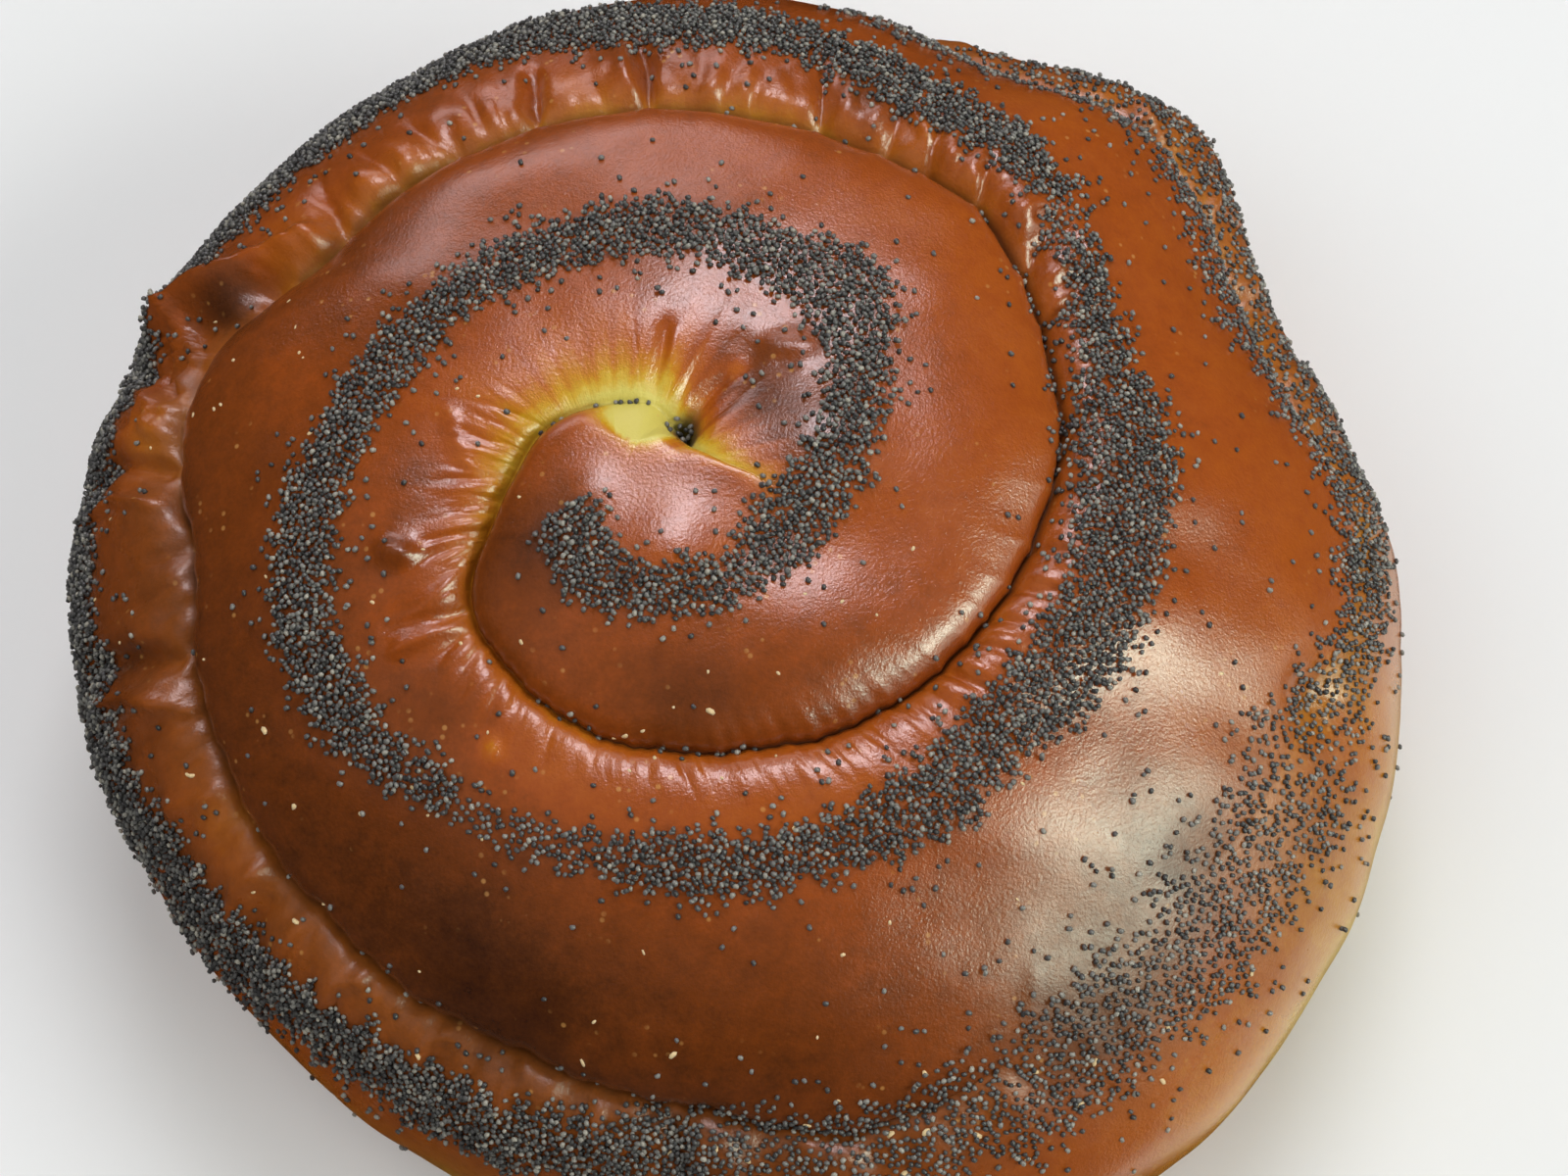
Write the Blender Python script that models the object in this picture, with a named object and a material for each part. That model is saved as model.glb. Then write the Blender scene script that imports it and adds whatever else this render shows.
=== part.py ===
"""A round coiled challah: one strand wound outward into a stepped dome, poppy seeds on its crest."""
import math
import random

import bmesh
import bpy
import numpy as np
from mathutils import Matrix, Vector
from mathutils.bvhtree import BVHTree

# Driving dimensions, in metres and degrees.
LOAF_RADIUS = 0.0875      # mean radius of the loaf at its widest level
RIM_HEIGHT = 0.026        # height of that level above the table
DOME_RISE = 0.050         # from that level to the top of the coil
DOME_FULLNESS = 2.1       # exponent of the dome's section, 2 being an ellipse
BASE_SHARE = 0.86         # radius of the flat underside, as a share of the loaf's radius
LOAF_CENTRE = (0.0007, 0.0002)     # puts the middle of the loaf's extent at the origin
COIL_CENTRE = (-0.0138, -0.0001)   # where the coil starts, seen from above
TURN = 360                # degrees in one turn of the strand
COIL_START = -150         # coil angle where the first crease leaves the centre
COIL_END = 840            # coil angle where the tail is tucked under the loaf
SIDE_SHARE = 0.32         # the side below the widest level, as a share of the loaf's radius
FOOT = 1 + SIDE_SHARE     # plan share that stands for the edge of the underside
SIDE_PATH = 90            # way down the side for one whole share, see equal_path

# The crease between two turns: coil angle, then its plan distance as a share of the loaf's radius.
# Past 1 it runs down the side of the loaf, and FOOT is the edge of the underside.
CREASE = ((-150, 0), (-90, 0.11), (-30, 0.19), (-2.5, 0.17), (8.5, 0.131), (22, 0.115), (39.5, 0.1),
          (75, 0.09), (120, 0.122), (180, 0.19), (198, 0.243), (210, 0.312), (238, 0.368), (290, 0.382),
          (322, 0.435), (360, 0.527), (391, 0.622), (407, 0.61), (425, 0.655), (445, 0.642),
          (490, 0.694), (507, 0.722), (513, 0.762), (518, 0.815), (526, 0.845), (535, 0.815),
          (542, 0.788), (580, 0.862), (600, 0.862), (626, 0.838), (640, 0.85), (670, 0.8), (700, 0.85),
          (726, 0.945), (733, 0.925), (740, 0.93), (752, 0.95), (765, 0.93), (776, 0.965), (790, 1.0),
          (815, 1.13), (840, FOOT))

# The crest of the strand, where the seeds lie, in the same terms.
CREST = ((-150, 0.09), (-105, 0.16), (-30, 0.205), (0, 0.252), (30, 0.348), (60, 0.408), (90, 0.394),
         (150, 0.436), (210, 0.575), (270, 0.527), (300, 0.531), (360, 0.627), (390, 0.69),
         (410, 0.682), (450, 0.803), (520, 0.935), (570, 0.934), (640, 0.865), (690, 0.85),
         (720, 0.955), (790, 0.985), (815, 1.16), (840, FOOT))

# How deep the crease lies under the crests beside it, in metres: shut at the very start, nearly
# smooth where two turns have baked together at the front right, and shut again at the tail.
CREASE_DEPTH = ((-150, 0), (-80, 0), (-30, 0), (-8, 0), (2, 0.0006), (14, 0.0026), (30, 0.0055),
                (110, 0.0055), (180, 0.005), (215, 0.004), (300, 0.0048), (400, 0.005), (500, 0.0055),
                (530, 0.007), (600, 0.0055), (635, 0.004), (655, 0.0006), (690, 0.0002), (715, 0.0003),
                (730, 0.0014), (750, 0.0022), (765, 0.0030), (780, 0.0045), (800, 0.004), (840, 0))

# Slow swells of the outline: turns per circuit, then cosine and sine shares of the radius.
SWELLS = ((2, -0.0103, -0.0359), (3, -0.0158, -0.0054), (4, 0.0069, 0.0024))

# Local swells of the outline: azimuth, width in degrees, height in metres. The first is the knob
# where the tail of the strand shows, the second the waist below it.
KNOBS = ((48, 12, 0.0086), (26, 9, -0.0016), (2, 14, 0.0014))

# Pleats that cross the inner flank of the strand: coil angle, width, reach and height in metres.
# A negative height is a notch.
PLEATS = ((400, 0.0022, 0.008, -0.0012), (423, 0.0022, 0.009, -0.0014), (513, 0.0050, 0.016, 0.0022),
          (522, 0.0030, 0.016, -0.0022), (528, 0.0034, 0.014, 0.0017), (538, 0.0030, 0.013, 0.0014),
          (557, 0.0030, 0.013, 0.0018), (580, 0.0028, 0.010, -0.0016), (602, 0.0028, 0.008, -0.0012),
          (626, 0.0030, 0.008, -0.0012), (209, 0.0030, 0.012, 0.0014), (216, 0.0026, 0.012, -0.0012))

PLEAT_PEAK = 0.35         # where a pleat is highest, as a share of its reach from the crease
PLEAT_SPAN = 60           # degrees each side beyond which a pleat has died away

# Blisters and dents of the crust: azimuth, plan share, radius and height in metres.
BLISTERS = ((195.5, 0.383, 0.0028, 0.0012), (237, 0.475, 0.0010, 0.0006), (345, 0.872, 0.0046, -0.0026),
            (31, 0.096, 0.0022, -0.0046), (300, 0.115, 0.0060, 0.0012))

STEP = 5                  # degrees of coil angle between two sections of the solid
ROWS = 9                  # faces across the strand
WELD = 0.00001            # vertices closer than this are one
LEAST_PATH = 0.1          # keeps the flanks' slopes finite where a section shrinks to a point

# Poppy seeds, in metres.
SEED_HALF = (0.00062, 0.00052, 0.00045)   # half-length, half-width and half-height
SEED_COUNT = 190
SEED_SUNK = 0.00012       # how far a seed's middle lies below the crust
SEED_ROOM = 0.0016        # least distance between two seeds' middles
BAND_FROM = -125          # coil angles between which the crest is seeded
BAND_TO = 788
BAND_HALF_WIDTH = 0.0036
SEED_DRAW = 4             # seed of the random draws


def along(stations, angle):
    """Smooth curve through stations of (coil angle, value), read at the given coil angles."""
    at, value = np.array(stations, float).T
    slope = np.gradient(value, at)
    i = np.clip(np.searchsorted(at, angle) - 1, 0, len(at) - 2)
    span = at[i + 1] - at[i]
    u = np.clip((angle - at[i]) / span, 0, 1)
    start = (1 + 2 * u) * (1 - u) ** 2 * value[i] + u * (1 - u) ** 2 * span * slope[i]
    end = u * u * (3 - 2 * u) * value[i + 1] + u * u * (u - 1) * span * slope[i + 1]
    return start + end


def outline_radius(azimuth):
    """Radius of the loaf at its widest level."""
    azimuth = np.asarray(azimuth, float)
    radians = np.radians(azimuth)
    radius = np.full_like(radians, LOAF_RADIUS)
    for waves, cosine, sine in SWELLS:
        radius += LOAF_RADIUS * (cosine * np.cos(waves * radians) + sine * np.sin(waves * radians))
    for middle, width, height in KNOBS:
        apart = np.mod(azimuth - middle + TURN / 2, TURN) - TURN / 2
        radius += height * np.exp(-(apart / width) ** 2)
    return radius


def smooth_dome(azimuth, share):
    """Points of the dome without creases: plan share 0 at the coil's start, 1 at the widest level."""
    radians = np.radians(azimuth)
    top = np.clip(share, 0, 1)
    down = np.clip((share - 1) / SIDE_SHARE, 0, 1) * math.pi / 2
    reach = outline_radius(azimuth) * top * (BASE_SHARE + (1 - BASE_SHARE) * np.cos(down))
    x = COIL_CENTRE[0] * (1 - top) + LOAF_CENTRE[0] * top + reach * np.cos(radians)
    y = COIL_CENTRE[1] * (1 - top) + LOAF_CENTRE[1] * top + reach * np.sin(radians)
    z = RIM_HEIGHT * (1 - np.sin(down)) + DOME_RISE * np.sqrt(1 - top ** DOME_FULLNESS)
    return np.stack([x, y, z], axis=-1)


def equal_path(share):
    """Way down the dome for a plan share, 0 at the top and 90 at the widest level: even also there."""
    top = np.clip(share, 0, 1)
    return np.degrees(np.arcsin(top ** (DOME_FULLNESS / 2))) + SIDE_PATH * (np.maximum(share, 1) - 1)


def share_at(path):
    """Plan share at a way down the dome."""
    top = np.sin(np.radians(np.clip(path, 0, 90))) ** (2 / DOME_FULLNESS)
    return top + np.maximum(path - 90, 0) / SIDE_PATH


def outward(azimuth, share):
    """Unit vectors square to the smooth dome."""
    small = 1e-3
    low = np.clip(equal_path(share) - 0.5, 0.2, None)
    across = smooth_dome(azimuth, share_at(low + 1)) - smooth_dome(azimuth, share_at(low))
    ring = np.clip(share, 0.02, None)
    along_ring = smooth_dome(azimuth + small, ring) - smooth_dome(azimuth - small, ring)
    normal = np.cross(across, along_ring)
    return normal / np.linalg.norm(normal, axis=-1, keepdims=True)


def inner_crease(angle):
    return np.where(angle <= COIL_START, 0, along(CREASE, angle))


def outer_crease(angle):
    return np.where(angle + TURN >= COIL_END, FOOT, along(CREASE, angle + TURN))


def crease_depth(angle):
    inside = (angle > COIL_START) & (angle < COIL_END)
    return np.where(inside, along(CREASE_DEPTH, angle), 0)


def flank(u, fullness):
    """Rise of a flank from its crease (u = 0) to the crest (u = 1), steep at the crease."""
    return (1 - (1 - np.clip(u, 0, 1)) ** fullness) ** (1 / fullness)


def relief(angle, share):
    """Height of the crust over the smooth dome, along its normal."""
    inner, outer = equal_path(inner_crease(angle)), equal_path(outer_crease(angle))
    path = equal_path(share)
    crest = equal_path(along(CREST, np.maximum(angle, COIL_START)))
    crest = np.clip(crest, inner + 0.2 * (outer - inner), inner + 0.8 * (outer - inner))
    rise = flank((path - inner) / np.maximum(crest - inner, LEAST_PATH), 1.9)
    fall = flank((outer - path) / np.maximum(outer - crest, LEAST_PATH), 2.3)
    height = -crease_depth(angle) * (1 - rise) - crease_depth(angle + TURN) * (1 - fall)
    from_crease = np.clip(share - inner_crease(angle), 0, None) * LOAF_RADIUS
    to_next = np.clip((outer - path) / np.maximum(outer - inner, LEAST_PATH), 0, 1)
    for at, width, reach, size in PLEATS:
        beside = (angle - at) * np.pi / 180 * share * LOAF_RADIUS / width
        beyond = from_crease / (PLEAT_PEAK * reach)
        near = np.abs(angle - at) < PLEAT_SPAN
        height += near * size * np.exp(-beside ** 2) * beyond * np.exp(1 - beyond) * to_next
    places = smooth_dome(np.mod(angle, TURN), share)
    for azimuth, middle, radius, size in BLISTERS:
        away = np.linalg.norm(places - smooth_dome(np.array(azimuth), np.array(middle)), axis=-1)
        height += size * np.exp(-(away / radius) ** 2)
    foot = np.clip((FOOT - share) / (FOOT - 0.95), 0, 1)
    return height * foot * foot * (3 - 2 * foot)


def crust_point(angle, share):
    azimuth = np.mod(angle, TURN)
    return smooth_dome(azimuth, share) + relief(angle, share)[..., None] * outward(azimuth, share)


def lofted_strand(step, rows):
    """Sections across the strand, one each step of coil angle, lofted into one skin with a flat base."""
    angles = np.arange(COIL_START - TURN, COIL_END + step / 2, step)[:, None]
    across = np.linspace(0, 1, rows + 1)[None, :]
    inner, outer = equal_path(inner_crease(angles)), equal_path(outer_crease(angles))
    shares = share_at(inner + (outer - inner) * across)
    points = crust_point(np.broadcast_to(angles, shares.shape), shares)
    skin = bmesh.new()
    grid = [[skin.verts.new(point) for point in section] for section in points]
    for here, there in zip(grid, grid[1:]):
        for k in range(rows):
            skin.faces.new((here[k], here[k + 1], there[k + 1], there[k]))
    bmesh.ops.remove_doubles(skin, verts=skin.verts, dist=WELD)
    rim = [edge for edge in skin.edges if edge.is_boundary]
    middle = skin.verts.new((*LOAF_CENTRE, 0))
    for edge in rim:
        skin.faces.new((edge.verts[0], edge.verts[1], middle))
    bmesh.ops.recalc_face_normals(skin, faces=skin.faces)
    bmesh.ops.triangulate(skin, faces=skin.faces)
    return skin


def crust_material():
    material = bpy.data.materials.new("egg_washed_crust")
    material.use_nodes = True
    shader = material.node_tree.nodes["Principled BSDF"]
    shader.inputs["Base Color"].default_value = (0.36, 0.10, 0.025, 1)
    shader.inputs["Roughness"].default_value = 0.3
    shader.inputs["Metallic"].default_value = 0
    return material


def seed_places(surface):
    """Places on the crest, evenly along it and drawn across the band, with the way out of the crust."""
    draw = random.Random(SEED_DRAW)
    angles = np.linspace(BAND_FROM, BAND_TO, 2000)
    crest_points = crust_point(angles, along(CREST, angles))
    travelled = np.concatenate([[0], np.cumsum(np.linalg.norm(np.diff(crest_points, axis=0), axis=1))])
    places = []
    for n in range(SEED_COUNT):
        angle = np.interp((n + draw.uniform(0.2, 0.8)) / SEED_COUNT * travelled[-1], travelled, angles)
        side = draw.uniform(-1, 1) * BAND_HALF_WIDTH / LOAF_RADIUS
        point = Vector(crust_point(angle, along(CREST, angle) + side))
        place, normal, _, _ = surface.find_nearest(point)
        if all((place - other).length > SEED_ROOM for other, _ in places):
            places.append((place, normal))
    return places


def seed_object(name, place, normal, collection):
    draw = random.Random(name)
    turn = normal.to_track_quat("Z", "X").to_matrix().to_4x4()
    turn = turn @ Matrix.Rotation(draw.uniform(0, 2 * math.pi), 4, "Z")
    size = draw.uniform(0.92, 1.08)
    shape = bmesh.new()
    bmesh.ops.create_icosphere(shape, subdivisions=1, radius=1)
    bmesh.ops.scale(shape, vec=[size * half for half in SEED_HALF], verts=shape.verts)
    bmesh.ops.transform(shape, matrix=Matrix.Translation(place - normal * SEED_SUNK) @ turn,
                        verts=shape.verts)
    mesh = bpy.data.meshes.new(name)
    shape.to_mesh(mesh)
    shape.free()
    seed = bpy.data.objects.new(name, mesh)
    seed.hide_render = True
    seed.display_type = "WIRE"
    collection.objects.link(seed)


def fuse(loaf, toppings):
    """Join the seeds to the crust as one solid, and remove the loose seeds."""
    join = loaf.modifiers.new("seeds", "BOOLEAN")
    join.operation = "UNION"
    join.solver = "EXACT"
    join.operand_type = "COLLECTION"
    join.collection = toppings
    bpy.context.view_layer.update()
    fused = bpy.data.meshes.new_from_object(loaf.evaluated_get(bpy.context.evaluated_depsgraph_get()))
    loaf.modifiers.clear()
    loaf.data = fused
    for seed in list(toppings.objects):
        bpy.data.objects.remove(seed)
    bpy.data.collections.remove(toppings)


for old in list(bpy.data.objects):
    bpy.data.objects.remove(old)
parts = bpy.data.collections.new("challah")
toppings = bpy.data.collections.new("poppy_seeds")
bpy.context.scene.collection.children.link(parts)
bpy.context.scene.collection.children.link(toppings)

skin = lofted_strand(STEP, ROWS)
surface = BVHTree.FromBMesh(skin)
bread = bpy.data.meshes.new("challah")
skin.to_mesh(bread)
skin.free()
loaf = bpy.data.objects.new("challah", bread)
loaf.data.materials.append(crust_material())
parts.objects.link(loaf)

for number, (place, normal) in enumerate(seed_places(surface)):
    seed_object("seed_%03d" % number, place, normal, toppings)
fuse(loaf, toppings)
loaf.data.shade_smooth()
loaf.data.set_sharp_from_angle(angle=math.radians(50))
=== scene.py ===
import math
import random

import bpy
import numpy as np
from mathutils import Euler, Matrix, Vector
from mathutils.bvhtree import BVHTree


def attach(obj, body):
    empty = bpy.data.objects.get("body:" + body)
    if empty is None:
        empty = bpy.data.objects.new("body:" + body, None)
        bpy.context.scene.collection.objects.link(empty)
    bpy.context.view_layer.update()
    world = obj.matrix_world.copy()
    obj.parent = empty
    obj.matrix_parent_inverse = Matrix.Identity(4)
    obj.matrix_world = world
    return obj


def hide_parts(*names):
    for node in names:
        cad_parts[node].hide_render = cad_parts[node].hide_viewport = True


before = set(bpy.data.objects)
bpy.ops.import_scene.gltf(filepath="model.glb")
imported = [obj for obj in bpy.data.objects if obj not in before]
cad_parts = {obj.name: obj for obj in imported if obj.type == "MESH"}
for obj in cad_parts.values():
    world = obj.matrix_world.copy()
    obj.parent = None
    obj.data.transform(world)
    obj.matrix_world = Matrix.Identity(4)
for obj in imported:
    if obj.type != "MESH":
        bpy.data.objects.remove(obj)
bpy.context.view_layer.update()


# ---- Camera ----
# A hand-held compact camera above the table, looking down at the loaf at 70 degrees from
# less than half a metre away, so the near edge of the loaf runs out of the picture.

CAMERA_ELEVATION = 70.0
CAMERA_DISTANCE = 0.45
CAMERA_AIM = Vector((0.0061, 0.0022, 0.03))
CAMERA_LENS = 77.8        # millimetres, in front of a sensor of the next width
SENSOR_WIDTH = 36.0
NEAREST_SEEN = 0.01


def put_in_scene(name, data):
    """A new object in the scene, for a mesh, a light or the camera."""
    made = bpy.data.objects.new(name, data)
    bpy.context.scene.collection.objects.link(made)
    return made


camera_data = bpy.data.cameras.new("camera")
camera_data.lens = CAMERA_LENS
camera_data.sensor_width = SENSOR_WIDTH
camera_data.clip_start = NEAREST_SEEN
camera = put_in_scene("camera", camera_data)
tilt = math.radians(CAMERA_ELEVATION)
camera.location = CAMERA_AIM + CAMERA_DISTANCE * Vector((0, -math.cos(tilt), math.sin(tilt)))
camera.rotation_euler = Euler((math.pi / 2 - tilt, 0, 0))
bpy.context.scene.camera = camera


# ---- Table and light ----
# A plain pale table top in a pale room that is brighter to the right and behind. Soft daylight
# comes from a broad window at the right and one behind, with a lamp overhead. The loaf's glaze
# mirrors the window panes and the bright side of the table, and nothing else of the room.

TABLE_SIZE = 3.0
TABLE_COLOUR = (0.8, 0.82, 0.83, 1)
TABLE_ROUGHNESS = 0.7
SURROUND = (0.98, 1.0, 0.96, 1)
SURROUND_STRENGTH = 0.19
SURROUND_SLOPE = 0.16     # gain towards the bright side of the room, and loss away from it
BRIGHT_SIDE = (0.71, 0.71, 0.0)

# Lights: name, direction round the loaf and above it in degrees, distance, width and height in
# metres, watts and colour. The first four light the loaf and don't show in its glaze.
SOFT_LIGHTS = (
    ("window_right", -22, 26, 3.0, (2.5, 2.6), 19.0, (1.0, 0.98, 0.94)),
    ("window_right_top", -22, 41, 3.0, (1.9, 0.9), 27.0, (1.0, 0.98, 0.94)),
    ("window_behind", 85, 52, 3.0, (1.4, 1.5), 32.0, (1.0, 0.97, 0.99)),
    ("lamp_overhead", 200, 60, 2.5, (2.5, 2.5), 33.0, (1.0, 1.0, 0.99)))
# These only show as reflections in the glaze: the window panes, and from below the bright side of
# the table, which the loaf's lower flank mirrors.
MIRRORED_LIGHTS = (
    ("pane_right", -15, 40, 3.0, (1.6, 0.78), 82.0, (0.82, 1.0, 0.82)),
    ("pane_right_low", -18, 14, 3.0, (2.6, 1.2), 28.0, (0.92, 1.0, 0.84)),
    ("pane_behind", 79, 56, 3.0, (0.95, 0.9), 46.0, (0.94, 0.92, 1.0)),
    ("pane_behind_low", 106, 20, 3.0, (2.0, 0.9), 22.0, (1.0, 0.88, 0.94)),
    ("table_shine", -5, -40, 3.0, (3.6, 2.3), 30.0, (0.97, 1.0, 0.9)))


class Paint:
    """A value, colour or direction inside a material, with arithmetic that adds Math nodes."""

    def __init__(self, tree, socket):
        self.tree = tree
        self.socket = socket

    def node(self, kind, settings=None, sockets=None, output=0):
        made = self.tree.nodes.new(kind)
        for name, value in (settings or {}).items():
            if name == "stops":
                self.lay_stops(made.color_ramp, value)
            else:
                setattr(made, name, value)
        for name, value in (sockets or {}).items():
            self.feed(made.inputs[name], value)
        return Paint(self.tree, made.outputs[output])

    def feed(self, entry, value):
        if isinstance(value, Paint):
            self.tree.links.new(value.socket, entry)
        else:
            entry.default_value = value

    @staticmethod
    def lay_stops(ramp, stops):
        while len(ramp.elements) < len(stops):
            ramp.elements.new(1.0)
        for element, (place, colour) in zip(ramp.elements, stops):
            element.position = place
            element.color = colour

    def maths(self, operation, first, second=0.0):
        return self.node("ShaderNodeMath", {"operation": operation}, {0: first, 1: second})

    def __add__(self, other):
        return self.maths("ADD", self, other)

    def __radd__(self, other):
        return self.maths("ADD", other, self)

    def __sub__(self, other):
        return self.maths("SUBTRACT", self, other)

    def __rsub__(self, other):
        return self.maths("SUBTRACT", other, self)

    def __mul__(self, other):
        return self.maths("MULTIPLY", self, other)

    def __rmul__(self, other):
        return self.maths("MULTIPLY", other, self)

    def between(self, low, high):
        """0 below low, 1 above high, smooth between them."""
        sockets = {"Value": self, "From Min": low, "From Max": high}
        return self.node("ShaderNodeMapRange", {"interpolation_type": "SMOOTHSTEP"}, sockets)

    def blend(self, below, above):
        """A colour mixed from two, with this value as the share of the second."""
        sockets = {0: self, 6: below, 7: above}
        return self.node("ShaderNodeMix", {"data_type": "RGBA"}, sockets, output=2)


def material_with_shader(name, roughness, **fixed):
    """A Principled material, its constants set on the shader itself, and a hand to add nodes with."""
    material = bpy.data.materials.new(name)
    material.use_nodes = True
    shader = material.node_tree.nodes["Principled BSDF"]
    shader.inputs["Roughness"].default_value = roughness
    for socket, value in fixed.items():
        shader.inputs[socket.replace("_", " ")].default_value = value
    return material, shader, Paint(material.node_tree, None)


table_mesh = bpy.data.meshes.new("table_top")
half = TABLE_SIZE / 2
corners = [(-half, -half, 0), (half, -half, 0), (half, half, 0), (-half, half, 0)]
table_mesh.from_pydata(corners, [], [(0, 1, 2, 3)])
table = put_in_scene("table_top", table_mesh)
table_finish, *_ = material_with_shader("pale_table", TABLE_ROUGHNESS, Base_Color=TABLE_COLOUR)
table_mesh.materials.append(table_finish)
table.visible_glossy = False

surround = bpy.data.worlds.new("pale_surround")
surround.use_nodes = True
backdrop = surround.node_tree.nodes["Background"]
backdrop.inputs["Color"].default_value = SURROUND
room = Paint(surround.node_tree, None)
way = room.node("ShaderNodeTexCoord")
brighter = way.node("ShaderNodeVectorMath", {"operation": "DOT_PRODUCT"},
                    {0: way, 1: BRIGHT_SIDE}, output=1)
room.feed(backdrop.inputs["Strength"], SURROUND_STRENGTH + SURROUND_SLOPE * brighter)
bpy.context.scene.world = surround
surround.cycles_visibility.glossy = False
bpy.context.scene.view_settings.view_transform = "Standard"


def soft_window(name, azimuth, elevation, distance, size, watts, colour):
    """An area light of the given width and height on a sphere round the loaf, facing it."""
    lamp = bpy.data.lights.new(name, "AREA")
    lamp.shape = "RECTANGLE"
    lamp.size, lamp.size_y = size
    lamp.energy = watts
    lamp.color = colour
    light = put_in_scene(name, lamp)
    a = math.radians(azimuth)
    e = math.radians(elevation)
    away = Vector((math.cos(a) * math.cos(e), math.sin(a) * math.cos(e), math.sin(e)))
    light.location = away * distance
    light.rotation_euler = away.to_track_quat("Z", "Y").to_euler()
    return light


for row in SOFT_LIGHTS:
    soft_window(*row).visible_glossy = False
for row in MIRRORED_LIGHTS:
    soft_window(*row).visible_diffuse = False


# ---- Crust: the coiled loaf ----
# One rolled strand of enriched dough, wound outward from a knob in the middle and baked until
# its turns rose into each other. The form repeats the solid's: a dome, with a crease between
# turns whose flanks are steep beside it, as they are where two soft rolls press together.

LOAF_RADIUS = 0.0875      # the loaf's driving sizes, as in the solid, in metres and degrees
RIM_HEIGHT = 0.026
DOME_RISE = 0.05
DOME_FULLNESS = 2.1
BASE_SHARE = 0.86
LOAF_CENTRE = (0.0007, 0.0002)
COIL_CENTRE = (-0.0138, -0.0001)
TURN = 360
COIL_START = -150
COIL_END = 840
SIDE_SHARE = 0.32         # plan shares past 1 run down the loaf's side, to the table at FOOT
FOOT = 1 + SIDE_SHARE
FLAT_FROM = 0.95          # share from which all relief dies away towards the foot
SIDE_PATH = 90
LEAST_PATH = 0.1
CREST_RANGE = (0.2, 0.84)  # shares of the strand's width between which its crest stays

FINE = 1e5                # tables divided by it give their lengths in hundredths of a millimetre

# Coil angle, then plan distance from the coil's centre as a share of the loaf's radius.
CREASE = (
    (-150, 0), (-90, 0.11), (-30, 0.19), (-2.5, 0.17), (8.5, 0.131), (22, 0.112), (34, 0.102),
    (46, 0.104), (58, 0.112), (76, 0.12), (96, 0.122), (120, 0.134), (150, 0.158), (180, 0.19),
    (198, 0.243), (210, 0.312), (238, 0.368), (290, 0.382), (322, 0.435), (360, 0.527), (391, 0.618),
    (407, 0.598), (425, 0.64), (445, 0.64), (490, 0.694), (507, 0.722), (513, 0.758), (518, 0.795),
    (526, 0.806), (535, 0.775), (542, 0.752), (560, 0.795), (580, 0.84), (600, 0.85), (626, 0.838),
    (640, 0.85), (670, 0.8), (700, 0.85), (726, 0.925), (733, 0.912), (740, 0.915), (752, 0.93),
    (765, 0.905), (776, 0.89), (786, 0.925), (800, 1.03), (815, 1.13), (840, FOOT))
# The crest of the strand, in the same way.
CREST = (
    (-150, 0.09), (-105, 0.16), (-30, 0.205), (0, 0.252), (30, 0.348), (60, 0.408), (90, 0.394),
    (150, 0.436), (210, 0.575), (270, 0.527), (300, 0.531), (360, 0.627), (390, 0.69), (410, 0.682),
    (450, 0.803), (520, 0.935), (570, 0.934), (640, 0.865), (690, 0.85), (720, 0.955), (790, 0.985),
    (815, 1.16), (840, FOOT))
# How deep the crease lies below the dome.
CREASE_DEPTH = np.array((
    (-150, 0), (-80, 0), (-30, 0), (-8, 0), (2, 40), (14, 90), (28, 140), (37, 260), (44, 460),
    (52, 620), (62, 480), (76, 280), (100, 270), (122, 330), (150, 350), (180, 420), (215, 400),
    (300, 480), (400, 500), (500, 550), (530, 700), (600, 550), (635, 400), (655, 60), (690, 20),
    (715, 30), (730, 140), (750, 220), (765, 300), (780, 450), (800, 400), (840, 0))) / (1, FINE)
# The outline, as seen from above: waves round the loaf with their cosine and sine parts as shares,
# and knobs and dents with their azimuth, width in degrees and height in metres.
SWELLS = ((2, -0.0103, -0.0359), (3, -0.0158, -0.0054), (4, 0.0069, 0.0024))
KNOBS = ((48, 12, 0.0086), (26, 9, -0.0016), (2, 14, 0.0014))
# Pleats across the strand: coil angle, half width, reach from the crease and height.
PLEATS = np.array((
    (400, 220, 800, -120), (423, 220, 900, -140), (513, 500, 1600, 220), (522, 300, 1600, -220),
    (528, 340, 1400, 170), (538, 300, 1300, 140), (557, 300, 1300, 180), (580, 280, 1000, -160),
    (602, 280, 800, -120), (626, 300, 800, -120), (209, 300, 1200, 140), (216, 260, 1200, -120)
)) / (1, FINE, FINE, FINE)
PLEAT_PEAK = 0.35         # where a pleat is highest, as a share of its reach
PLEAT_SPAN = 60           # degrees each side beyond which a pleat has died away
# Blisters and pits: azimuth, share in thousandths, radius and height.
BLISTERS = np.array((
    (195.5, 383, 280, 120), (237, 475, 100, 60), (345, 872, 460, -260), (46, 100, 200, -300),
    (300, 115, 600, 120), (204, 52, 320, 50), (19, 272, 750, 140))) / (1, 1000, FINE, FINE)

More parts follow.
